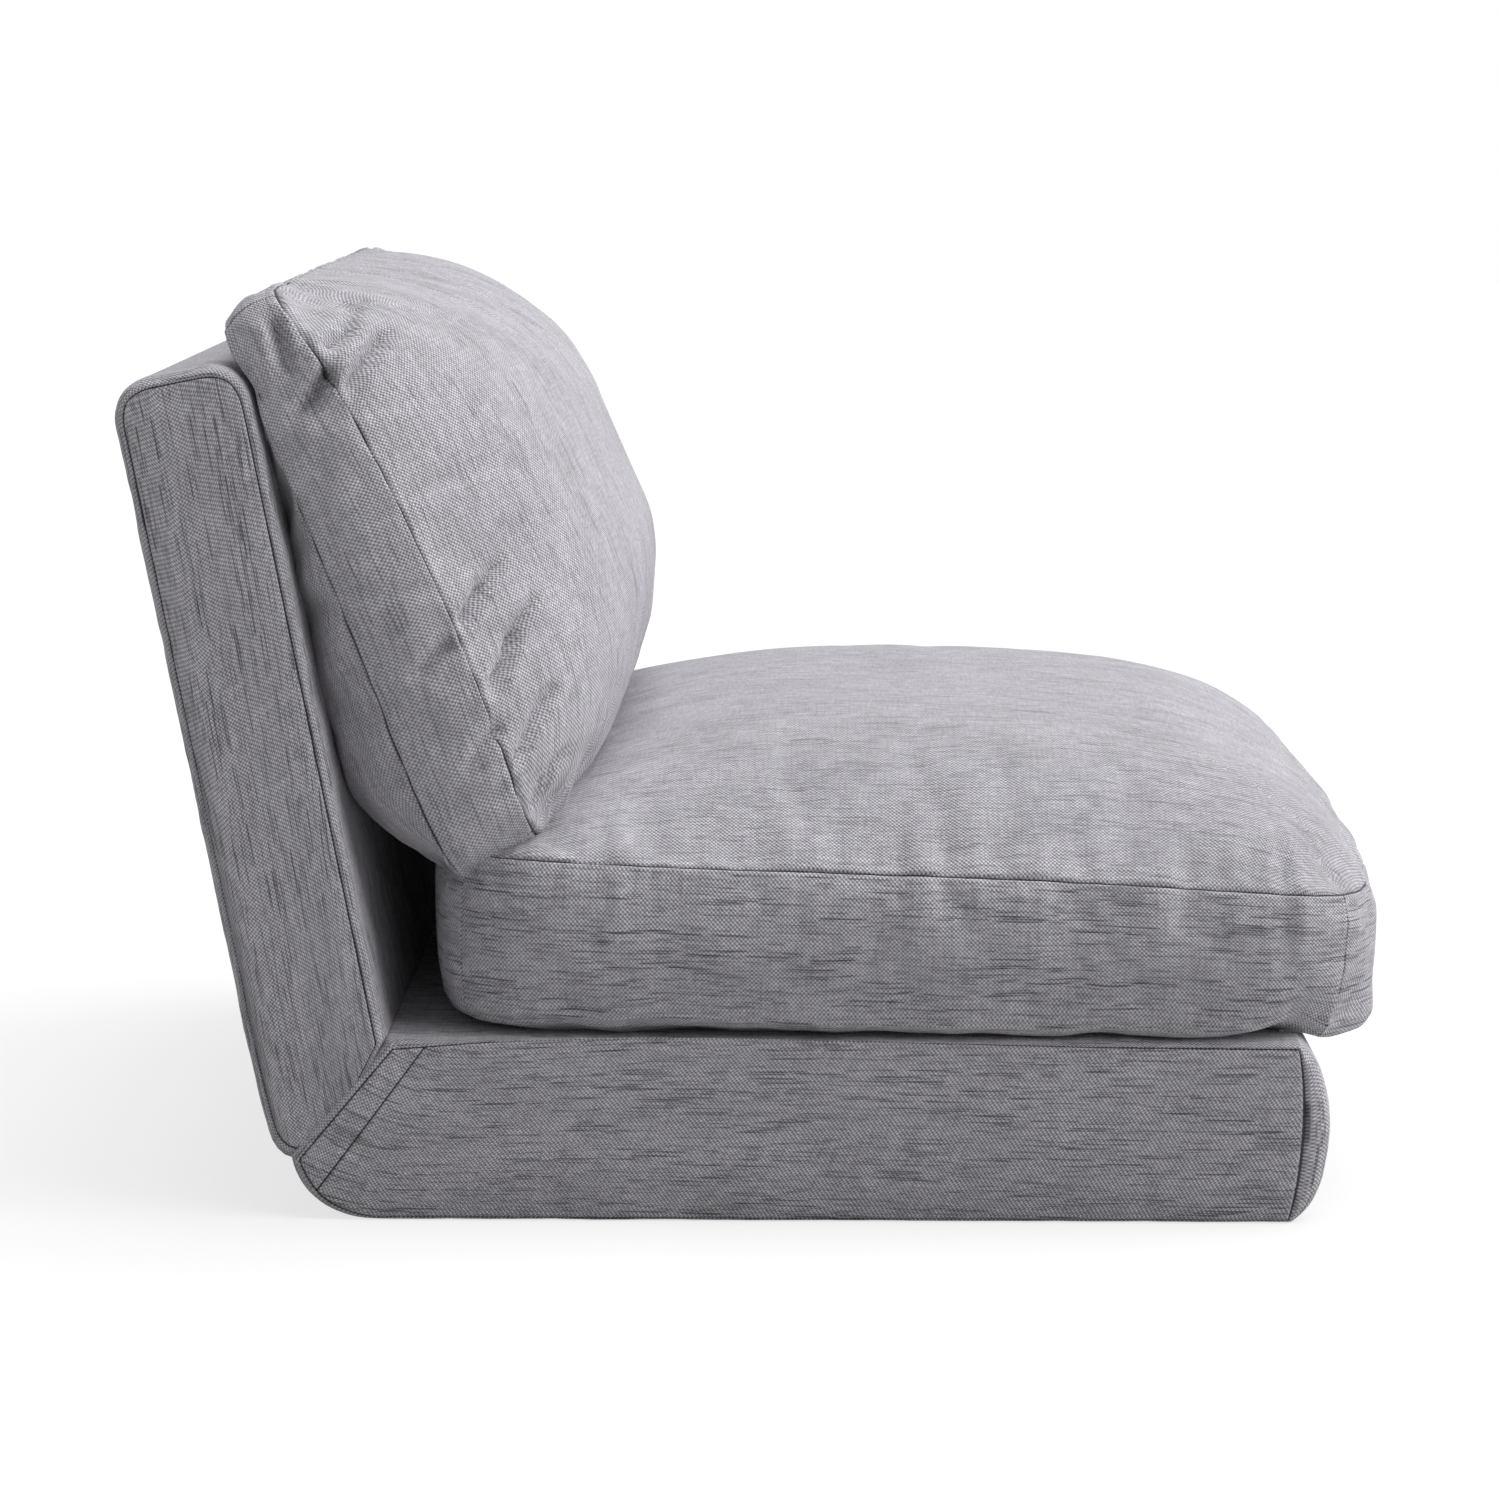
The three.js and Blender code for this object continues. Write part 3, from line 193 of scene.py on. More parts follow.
class Form:
    """A closed sewn form: two capped panels on the same grid, and a band of rings between them.
    Each vertex has a seam value, and each face corner has its place in the cloth of its panel."""

    def __init__(self, us, vs, low_cap, rings, high_cap, seam_rings=(), seam_columns=(), cap_seams=()):
        nu, nv = len(us) - 1, len(vs) - 1
        cap_size = (nu + 1) * (nv + 1)
        around = 2 * (nu + nv)
        u, v = np.meshgrid(us, vs, indexing="ij")
        edge = square_edge(us, vs)
        low = low_cap(u, v)
        high = high_cap(u, v)
        inner = [ring(edge[:, 0], edge[:, 1]) for ring in rings]
        self.points = np.concatenate([low.reshape(-1, 3), *inner, high.reshape(-1, 3)])
        high_start = cap_size + around * len(rings)
        low_edge = edge_ids(nu, nv)
        ring_ids = [low_edge]
        ring_ids += [cap_size + k * around + np.arange(around) for k in range(len(rings))]
        ring_ids += [high_start + low_edge]
        self.ring_ids = ring_ids
        self.corner_columns = [0, nu, nu + nv, 2 * nu + nv]
        self.seam = np.zeros(len(self.points))
        self.slub = np.ones(len(self.points))
        self.seam[low_edge] = 1
        self.seam[high_start + low_edge] = 1
        for k in seam_rings:
            self.seam[ring_ids[k]] = 1
        for column in seam_columns:
            for ids in ring_ids:
                self.seam[ids[column]] = 1
        for start in (0, high_start):
            for line in cap_seams:
                i = int(np.argmin(np.abs(us - line)))
                self.seam[start + i * (nv + 1) : start + (i + 1) * (nv + 1)] = 1
        ids = np.arange(cap_size).reshape(nu + 1, nv + 1)
        cap = np.stack([ids[:-1, :-1], ids[1:, :-1], ids[1:, 1:], ids[:-1, 1:]], -1).reshape(-1, 4)
        faces = [cap[:, ::-1], cap + high_start]
        cloth = []
        for panel, points in ((1, low), (2, high)):
            place = np.stack([running_length(points, 0) + panel * 3.7, running_length(points, 1)], -1)
            place = place.reshape(-1, 2)[cap]
            cloth.append(place[:, ::-1] if panel == 1 else place)
        walk = np.arange(around)
        after = (walk + 1) % around
        rows = [self.points[i] for i in ring_ids]
        up = np.linalg.norm(np.diff(np.array(rows), axis=0), axis=-1).mean(1)
        heights = np.concatenate([[0], np.cumsum(up)])
        middle = rows[len(rows) // 2]
        along = np.linalg.norm(middle[after] - middle, axis=-1)
        reach = np.concatenate([[0], np.cumsum(along)])
        for k in range(len(ring_ids) - 1):
            a, b = ring_ids[k], ring_ids[k + 1]
            faces.append(np.stack([a, a[after], b[after], b], -1))
            s0, s1 = reach[:-1], reach[1:]
            h0, h1 = np.full(around, heights[k]), np.full(around, heights[k + 1])
            cloth.append(np.stack([np.stack([s0, h0], -1), np.stack([s1, h0], -1), np.stack([s1, h1], -1), np.stack([s0, h1], -1)], 1))
        self.faces = np.concatenate(faces)
        self.cloth = np.concatenate(cloth)
        if self.volume() < 0:
            self.faces = self.faces[:, ::-1]
            self.cloth = self.cloth[:, ::-1]

    def volume(self):
        a, b, c, d = (self.points[self.faces[:, k]] for k in range(4))
        return float((np.cross(a, b) * c).sum() + (np.cross(a, c) * d).sum())

    def normals(self):
        a, b, c, d = (self.points[self.faces[:, k]] for k in range(4))
        face = np.cross(c - a, d - b)
        total = np.zeros_like(self.points)
        for k in range(4):
            np.add.at(total, self.faces[:, k], face)
        return total / np.maximum(np.linalg.norm(total, axis=1, keepdims=True), 1e-12)

    def evened(self, values, steps):
        """Values of the vertices, averaged again and again with those of their neighbours."""
        edges = np.concatenate([self.faces[:, [k, (k + 1) % 4]] for k in range(4)])
        start, end = edges[:, 0], edges[:, 1]
        count = np.bincount(start, minlength=len(values))[:, None]
        for _ in range(steps):
            total = [np.bincount(start, weights=values[end, k], minlength=len(values)) for k in range(3)]
            values = (values + np.stack(total, -1) / count) / 2
        return values


def superellipse(u, v, squareness):
    """A square's point as a share of its reach, and the point of a rounded square at that reach."""
    share = np.maximum(np.abs(u), np.abs(v))
    safe = np.where(share > 0, share, 1)
    x, y = u / safe, v / safe
    reach = np.maximum(np.abs(x) ** squareness + np.abs(y) ** squareness, 0.5) ** (-1 / squareness)
    return share, x * reach, y * reach


def rounded(u, v, half_length, half_width, squareness, share, belly, side_belly=0.0):
    """A point of a rounded rectangle whose front and sides swell between their corners."""
    _, x, y = superellipse(u, v, squareness)
    px = (half_length * x + np.where(x > 0, belly * (1 - y**2), 0)) * share
    py = (half_width * y + side_belly * y * (1 - x**2)) * share
    return px, py


def ease(value):
    """From 0 to 1 with a smooth start and end."""
    value = np.clip(value, 0, 1)
    return value * value * (3 - 2 * value)


def even_fall(power):
    """How far a crown has come down to its seam, the same on all four sides."""
    return lambda u, v: np.maximum(np.abs(u), np.abs(v)) ** power


def crown_panel(size, seam_height, rise, fall, middle_squareness, seam_share=SEAM_SHARE, lift=None, level=0.0):
    """A panel that rises from its seam to a blunt crown, rounder in plan towards its middle."""
    half_length, half_width, belly = size

    def place(u, v):
        edge_share = np.maximum(np.abs(u), np.abs(v))
        squareness = middle_squareness + (CORNER_SQUARENESS - middle_squareness) * edge_share**3
        px, py = rounded(u, v, half_length, half_width, squareness, edge_share * seam_share, belly)
        height = level + (seam_height(px) - level) * edge_share**3 + rise * (1 - fall(u, v))
        return np.stack([px, py, height + (lift(px) if lift else 0)], -1)

    return place


def band_ring(size, share, height, side_belly=0.0, lift=None):
    half_length, half_width, belly = size

    def place(u, v):
        px, py = rounded(u, v, half_length, half_width, CORNER_SQUARENESS, share, belly, side_belly)
        return np.stack([px, py, height(px) + (lift(px) if lift else 0)], -1)

    return place


def spread(start, end, cell=CELL):
    """Heights from one seam to the next, fine beside both and even between, without the ends."""
    length = end - start
    near = [d for d in SEAM_ROWS[1:] if d < length / 3]
    first, last = start + near[-1], end - near[-1]
    count = max(1, round((last - first) / cell))
    middle = [first + (last - first) * k / count for k in range(count + 1)]
    return [start + d for d in near[:-1]] + middle + [end - d for d in near[-2::-1]]


def seat_form():
    """The seat is drawn over its own middle, then moved to its place."""
    us = grid_lines(SEAT_HALF_LENGTH * 2)
    vs = grid_lines(HALF_WIDTH * 2)
    size = (SEAT_HALF_LENGTH, HALF_WIDTH, SEAT_BELLY)
    profile_height = np.array([0, 0.03, 0.12, 0.30, 0.5, 0.8, 1])
    profile_share = np.array([0.945, 0.975, 0.992, 1.0, 1.0, 0.996, SEAM_SHARE])
    seam = lambda px: SEAT_BAND - SEAT_SEAM_SLOPE * px - SEAT_FRONT_DROP * np.clip(px / SEAT_HALF_LENGTH, 0, 1) ** 3
    flat = lambda px: 0.0 * px
    levels = [d / SEAT_BAND for d in [0.0015, 0.004, 0.008] + spread(0.012, SEAT_BAND)]
    rings = []
    for level in levels:
        share = float(np.interp(level, profile_height, profile_share))
        height = lambda px, level=level: level * seam(px)
        rings.append(band_ring(size, share, height, side_belly=SEAT_SIDE_BELLY * math.sin(math.pi * level) ** 0.7))
    low = crown_panel(size, flat, 0, even_fall(1), CORNER_SQUARENESS, seam_share=0.93)
    blunt = lambda u: SEAT_REAR_BLUNTNESS + (SEAT_BLUNTNESS - SEAT_REAR_BLUNTNESS) * ease((u + 0.8) / 1.2)
    fall = lambda u, v: np.maximum(np.abs(u), np.abs(v)) ** blunt(u)
    high = crown_panel(size, seam, SEAT_CROWN, fall, CROWN_SQUARENESS, level=SEAT_BAND)
    nu, nv = len(us) - 1, len(vs) - 1
    form = Form(us, vs, low, rings, high, seam_columns=[0, nu, nu + nv, 2 * nu + nv])
    cap = (nu + 1) * (nv + 1)
    form.seam[:cap] = 0
    form.slub[-cap:] = CROWN_SLUBS
    form.points += [SEAT_CENTRE_X, 0, SEAT_BOTTOM]
    x, y, z = form.points.T
    shoulder = ease((z - SEAT_BOTTOM - SEAT_BAND) / 0.03) * ease((SEAT_BOTTOM + SEAT_BAND + SEAT_CROWN - z) / 0.03)
    form.points[:, 0] = x + SEAT_FRONT_FULLNESS * shoulder * ease((x - 0.24) / 0.08)
    over_side = ease((np.abs(y) - 0.336) / 0.014)
    over_front = ease((x - 0.360) / 0.030)
    low_part = ease((SEAT_BOTTOM + 0.045 - z) / 0.045)
    sag = SEAT_SAG * (0.42 + 0.58 * ease((x + 0.15) / 0.35)) * ease((x + 0.25) / 0.1)
    form.points[:, 2] = z - sag * np.maximum(over_side, over_front) * low_part
    form.points[:, 2] -= SEAT_CROWN_TILT * ease((z - SEAT_BOTTOM - SEAT_BAND) / 0.05) * ease(x / 0.30)
    under = np.clip((SEAT_BOTTOM + SEAT_BAND - z) / SEAT_BAND, 0, 1) ** 2
    corner = ease((np.abs(y) - 0.275) / 0.04)
    form.points[:, 0] -= SEAT_FRONT_TUCK * under * ease((x - 0.26) / 0.12) * (0.3 + 0.7 * corner)
    form.points[:, 0] += SEAT_LIP * ease((x - 0.33) / 0.05) * ease((SEAT_BOTTOM + 0.03 - z) / 0.03) * (1 - corner)
    return form


def pillow_form():
    """The pillow is drawn face up with its top towards -X, then stood up to lean."""
    us = grid_lines(PILLOW_HALF_HEIGHT * 2)
    vs = grid_lines(HALF_WIDTH * 2)
    size = (PILLOW_HALF_HEIGHT, HALF_WIDTH, 0)
    bow = lambda px: PILLOW_BOW * (1 - (px / PILLOW_HALF_HEIGHT) ** 2)
    rings = []
    for height in spread(-PILLOW_GUSSET, 0):
        share = SEAM_SHARE + (1 - SEAM_SHARE) * math.sin(-height / PILLOW_GUSSET * math.pi)
        rings.append(band_ring(size, share, lambda px, height=height: height + 0 * px, lift=bow))
    rear_fall = lambda u, v: 1 - (1 - np.abs(u) ** PILLOW_REAR_BLUNTNESS) * (1 - np.abs(v) ** PILLOW_SIDE_BLUNTNESS)
    rear_seam = lambda px: 0 * px - PILLOW_GUSSET
    low = crown_panel(size, rear_seam, -PILLOW_REAR_CROWN, rear_fall, CORNER_SQUARENESS, lift=bow, level=-PILLOW_GUSSET)
    high = crown_panel(size, lambda px: 0 * px, PILLOW_CROWN, even_fall(PILLOW_BLUNTNESS), CROWN_SQUARENESS, lift=bow)
    nu, nv = len(us) - 1, len(vs) - 1
    form = Form(us, vs, low, rings, high, seam_columns=[0, nu, nu + nv, 2 * nu + nv])
    form.slub[:] = CROWN_SLUBS
    x, y, z = form.points.T
    depth = np.clip(-z / PILLOW_GUSSET, 0, 1)
    top = np.clip(-x / PILLOW_HALF_HEIGHT, 0, 1)
    bottom = np.clip(x / PILLOW_HALF_HEIGHT, 0, 1)
    slack = (1 - (x / PILLOW_HALF_HEIGHT) ** 2) * (1 + 0.6 * x / PILLOW_HALF_HEIGHT)
    z = z - PILLOW_REAR_BOW * depth * slack + (PILLOW_TOP_PINCH * depth - PILLOW_TOP_SET_BACK) * top**3
    x = x + PILLOW_TOP_TUCK * depth * top**3 + PILLOW_TOP_DROP * top**2 + PILLOW_BOTTOM_SAG * depth * bottom**4
    ear = ease((top - 0.70) / 0.28) * ease((np.abs(y) - 0.25) / 0.08)
    x, z = x - PILLOW_EAR_RISE * ear, z - PILLOW_EAR_BACK * ear
    turn = math.pi / 2 - PILLOW_LEAN
    form.points = np.stack([
        x * math.cos(turn) + z * math.sin(turn) + PILLOW_MIDDLE[0],
        y,
        z * math.cos(turn) - x * math.sin(turn) + PILLOW_MIDDLE[1],
    ], -1)
    lean_on_backrest(form)
    return form


def lean_on_backrest(form):
    """Presses what lies behind the backrest's front flat against it, as far up as the backrest goes."""
    x, z = form.points[:, 0] - PIVOT[0], form.points[:, 2] - PIVOT[1]
    v = x * math.cos(BACK_LEAN) + z * math.sin(BACK_LEAN)
    u = z * math.cos(BACK_LEAN) - x * math.sin(BACK_LEAN)
    front = BACK_FRONT_LOW + (BACK_FRONT_HIGH - BACK_FRONT_LOW) * np.clip(u / BACK_TOP, 0, 1) + PRESS_GAP
    over = np.clip((u - BACK_TOP + 0.028) / 0.030, 0, 1)
    limit = front - 0.030 * (1 - np.sqrt(1 - over**2)) - 0.5 * np.clip(u - BACK_TOP - 0.002, 0, 1)
    push = np.maximum(limit - v, 0)
    form.points[:, 0] += push * math.cos(BACK_LEAN)
    form.points[:, 2] += push * math.sin(BACK_LEAN)


# ---------------------------------------------------------------- slabs: base and backrest


def arc(centre, radius, start, end, steps=10):
    turns = np.radians(np.linspace(start, end, steps))
    return [(centre[0] + radius * math.cos(t), centre[1] + radius * math.sin(t)) for t in turns]


def bezier(a, b, c, d, steps=24):
    t = np.linspace(0, 1, steps)[:, None]
    a, b, c, d = (np.array(p) for p in (a, b, c, d))
    return list((1 - t) ** 3 * a + 3 * (1 - t) ** 2 * t * b + 3 * (1 - t) * t**2 * c + t**3 * d)


def along_line(points, shares):
    """The points at given shares of a line's length."""
    points = np.array(points, float)
    reach = np.concatenate([[0], np.cumsum(np.linalg.norm(np.diff(points, axis=0), axis=1))])
    want = np.clip(shares, 0, 1) * reach[-1]
    return np.stack([np.interp(want, reach, points[:, k]) for k in (0, 1)], -1)


class Outline:
    """A four-sided outline of X and Z. Its south and north sides run with u, its west and east with v."""

    def __init__(self, south, east, north, west):
        self.sides = south, east, north, west

    def inside(self, u, v):
        """A point of the patch that the four sides bound."""
        south, east, north, west = self.sides
        s, t = (u + 1) / 2, (v + 1) / 2
        shape = u.shape
        s1, t1 = s.ravel(), t.ravel()
        low, high = along_line(south, s1), along_line(north, s1)
        left, right = along_line(west, t1), along_line(east, t1)
        s1, t1 = s1[:, None], t1[:, None]
        corners = (1 - s1) * (1 - t1) * np.array(south[0]) + s1 * (1 - t1) * np.array(south[-1])
        corners = corners + (1 - s1) * t1 * np.array(north[0]) + s1 * t1 * np.array(north[-1])
        patch = (1 - t1) * low + t1 * high + (1 - s1) * left + s1 * right - corners
        return patch.reshape(*shape, 2)


def slab_form(outer, inner, length, height, puff, edge_round, cap_seams=(), streaks_up=False):
    """A slab cushion: a side panel at each end, sewn to a strip that wraps round the outline."""
    half_width = HALF_WIDTH
    us = grid_lines(length, seams=cap_seams)
    vs = grid_lines(height)

    def cap(side):
        def place(u, v):
            flat = inner.inside(u, v)
            swell = puff * (1 - u**6) * (1 - v**4)
            y = side * (half_width + swell)
            return np.stack([flat[..., 0], y, flat[..., 1]], -1)

        return place

    def strip(share, y):
        def place(u, v):
            flat = inner.inside(u, v) * (1 - share) + outer.inside(u, v) * share
            return np.stack([flat[:, 0], np.full(len(flat), y), flat[:, 1]], -1)

        return place

    turns = np.radians([14, 30, 48, 68, 90])
    shares = np.sin(turns)
    backs = edge_round * (1 - np.cos(turns))
    count = round(2 * (half_width - edge_round) / CELL)
    middles = np.linspace(-half_width + edge_round, half_width - edge_round, count + 1)[1:-1]
    rings = [strip(a, -half_width + b) for a, b in zip(shares, backs)]
    rings += [strip(1, y) for y in middles]
    rings += [strip(a, half_width - b) for a, b in zip(shares[::-1], backs[::-1])]
    form = Form(us, vs, cap(-1), rings, cap(1), cap_seams=cap_seams)
    if streaks_up:
        caps = 2 * (len(us) - 1) * (len(vs) - 1)
        form.cloth[:caps] = form.cloth[:caps, :, ::-1]
    return form


def base_form():
    front = bezier((0.350, 0), (0.3833, 0.0169), (0.3833, 0.1181), (0.350, 0.135))
    tip = (-0.3795, 0.0475)
    lower_rear = [tip, (-0.3785, 0.038), (-0.374, 0.0285), (-0.366, 0.0175), (-0.353, 0.0065), (-0.338, 0.001), (-0.323, 0)]
    south = lower_rear + [(0.350, 0)]
    outer = Outline(south, front, [CREASE, (0.350, 0.135)], [tip, CREASE])
    low = 0.0015
    inner_tip = (-0.3725, 0.0450)
    inner_crease = (-0.3035, 0.1275)
    inner_rear = [inner_tip, (-0.3705, 0.0375), (-0.3665, 0.0305), (-0.360, 0.0205), (-0.349, 0.0105), (-0.337, 0.0055), (-0.323, low)]
    inner_front = bezier((0.345, low), (0.354, 0.035), (0.357, 0.095), (0.350, 0.1300))
    inner_top = [inner_crease, (-0.24, 0.1335), (-0.12, 0.1385), (0.04, 0.1355), (0.20, 0.1315), inner_front[-1]]
    inner = Outline(inner_rear + [(0.345, low)], inner_front, inner_top, [inner_tip, inner_crease])
    return slab_form(outer, inner, 0.70, 0.125, 0.003, 0.012, cap_seams=(-0.928,))


def back_outline(inset):
    """The backrest's side outline, drawn upright about its pivot with v to its front and u up."""
    front_low, front_high = BACK_FRONT_LOW - inset, BACK_FRONT_HIGH - inset
    rear_low, rear_high = BACK_REAR_LOW + inset, BACK_REAR_HIGH + inset
    top, round_top, nose = BACK_TOP - inset, 0.030 - inset, NOSE_RADIUS - inset
    foot = (front_low, BACK_FOOT_RISE - inset * 0.3)
    shoulder = BACK_TOP - 0.045
    front_centre = (front_high - round_top, top - round_top)
    rear_centre = (rear_high + round_top, top - round_top)
    heel = [(rear_low, 0.030), (rear_low, -0.006), (rear_low + 0.004, -0.0215 + inset), (rear_low + 0.013, -0.028 + inset)]
    south = heel + [(0.0, -nose)] + arc((0, 0), nose, 285, 312, 5) + [foot]
    east = [foot, (front_high, shoulder)] + arc(front_centre, round_top, 0, 45, 6)
    west = [(rear_low, 0.030), (rear_high, shoulder)] + arc(rear_centre, round_top, 180, 135, 6)
    north = arc(rear_centre, round_top, 135, 90, 6) + arc(front_centre, round_top, 90, 45, 6)
    return Outline(south, east, north, west)


def back_form():
    form = slab_form(back_outline(0), back_outline(SEAM_INSET), 0.1, 0.55, 0.003, 0.012, streaks_up=True)
    v, u = form.points[:, 0].copy(), form.points[:, 2].copy()
    nose = np.hypot(v, u)
    drawn_in = 0.0045 * (1 - ease((nose - 0.026) / 0.03))
    form.points[:, 1] -= np.sign(form.points[:, 1]) * drawn_in * (np.abs(form.points[:, 1]) > 0.33)
    form.points[:, 0] = PIVOT[0] + v * math.cos(BACK_LEAN) - u * math.sin(BACK_LEAN)
    form.points[:, 2] = PIVOT[1] + v * math.sin(BACK_LEAN) + u * math.cos(BACK_LEAN)
    return form


# ---------------------------------------------------------------- from form to object


def to_object(name, form):
    mesh = bpy.data.meshes.new(name)
    mesh.from_pydata(form.points.tolist(), [], form.faces.tolist())
    mesh.update()
    place = mesh.attributes.new("cloth", "FLOAT_VECTOR", "CORNER")
    flat = np.zeros((len(form.faces) * 4, 3), np.float32)
    flat[:, :2] = form.cloth.reshape(-1, 2)
    place.data.foreach_set("vector", flat.ravel())
    seam = mesh.attributes.new("seam", "FLOAT", "POINT")
    seam.data.foreach_set("value", form.seam.astype(np.float32))
    slub = mesh.attributes.new("slub", "FLOAT", "POINT")
    slub.data.foreach_set("value", form.slub.astype(np.float32))
    obj = bpy.data.objects.new(name, mesh)
    bpy.context.scene.collection.objects.link(obj)
    return obj


def positions(mesh):
    flat = np.empty(len(mesh.vertices) * 3, np.float32)
    mesh.vertices.foreach_get("co", flat)
    return flat.reshape(-1, 3).astype(float)


def stuff(form, pressure, slack, cap, share=1.0, frames=20):
    """Lets the cloth of a form take its shape under stuffing, with its seams held. The form keeps
    its measured size: only the waves and wrinkles of the settled cloth are added to it."""
    obj = to_object("stuffing", form)
    held = obj.vertex_groups.new(name="held")
    held.add([int(i) for i in np.nonzero(form.seam > 0.5)[0]], 1.0, "REPLACE")
    cloth = obj.modifiers.new("cloth", "CLOTH")
    settings = cloth.settings
    settings.quality = 6
    settings.mass = 0.15
    settings.use_pressure = True
    settings.uniform_pressure_force = pressure
    settings.vertex_group_mass = "held"
    settings.shrink_min = -slack
    settings.tension_stiffness = 20
    settings.compression_stiffness = 20
    settings.shear_stiffness = 8
    settings.bending_stiffness = 0.8
    settings.effector_weights.gravity = 0
    cloth.point_cache.frame_start = 1
    cloth.point_cache.frame_end = frames
    scene = bpy.context.scene
    for number in range(1, frames + 1):
        scene.frame_set(number)
    evaluated = obj.evaluated_get(bpy.context.evaluated_depsgraph_get())
    move = positions(evaluated.data) - form.points
    length = np.linalg.norm(move, axis=1, keepdims=True)
    move = move * np.minimum(1, cap / np.maximum(length, 1e-9))
    wrinkle = move - form.evened(move, 120)
    print("cloth moved", move.max().round(4), "wrinkles", np.abs(wrinkle).max().round(4), np.abs(wrinkle).mean().round(5))
    form.points = form.points + wrinkle * share
    bpy.data.objects.remove(obj)
    scene.frame_set(1)


class Surface:
    """The points and normals of a finished mesh, to be moved and written back."""

    def __init__(self, obj):
        self.mesh = obj.data
        self.points = positions(self.mesh)
        flat = np.empty(len(self.points) * 3, np.float32)
        self.mesh.vertex_normals.foreach_get("vector", flat)
        self.normals = flat.reshape(-1, 3).astype(float)
        seam = np.empty(len(self.points), np.float32)
        self.mesh.attributes["seam"].data.foreach_get("value", seam)
        self.seam = seam

    def push(self, depth):
        """Moves each point inwards along its normal."""
        self.points = self.points - self.normals * depth[:, None]

    def write(self):
        self.mesh.vertices.foreach_set("co", self.points.astype(np.float32).ravel())
        self.mesh.update()


def seen_through(pixel):
    """The direction of the camera's ray through a pixel of the 1500 pixel square view."""
    turn = Euler(CAMERA_TURN).to_matrix()
    ray = turn @ Vector(((pixel[0] - 750) / 3750, (750 - pixel[1]) / 3750, -1))
    return ray.normalized()


def press_fold(surface, tree, path, depth, width, side):
    """A crease in the cloth: deep at the seam where it starts, gone at its end, with raised lips."""
    corners = []
    for pixel in path:
        hit = tree.ray_cast(Vector(CAMERA_PLACE), seen_through(pixel))[0]
        if hit is None:
            return
        corners.append(hit if side < 0 else tree.find_nearest(Vector((hit.x, -hit.y, hit.z)))[0])
    corners = np.array([list(c) for c in corners])
    steps = np.linspace(0, len(corners) - 1, 8 * (len(corners) - 1) + 1)
    line = np.stack([np.interp(steps, range(len(corners)), corners[:, k]) for k in range(3)], -1)
    near = np.nonzero(np.linalg.norm(surface.points - corners.mean(0), axis=1) < 0.12)[0]
    away = np.linalg.norm(surface.points[near, None] - line[None], axis=-1)
    share = away.argmin(1) / (len(line) - 1)
    ratio = (away.min(1) / width) ** 2
    dent = (1 - 0.9 * ratio) * np.exp(-ratio) * depth * (1 - share**4) * ease(share * 5 + 0.30)
    full = np.zeros(len(surface.points))
    full[near] = dent
    surface.push(full)


def pucker(surface, chosen, depth, reach, pitch, seed):
    """Soft dents that run away from a seam, each at its own distance along it."""
    ids = np.nonzero((surface.seam > 0.8) & chosen(surface.points))[0]
    tree = KDTree(len(ids))
    waves = np.empty(len(ids))
    for k, i in enumerate(ids):
        place = Vector(surface.points[i])
        tree.insert(place, k)
        waves[k] = noise(place / pitch + Vector((seed, 0, 0))) + 0.5 * noise(place / pitch * 2.3 + Vector((0, seed, 0)))
    tree.balance()
    dent = np.zeros(len(surface.points))
    for i, point in enumerate(surface.points):
        _, k, away = tree.find(Vector(point))
        if away < reach * 6:
            dent[i] = waves[k] * away / reach * math.exp(1 - away / reach)
    surface.push(dent * depth)


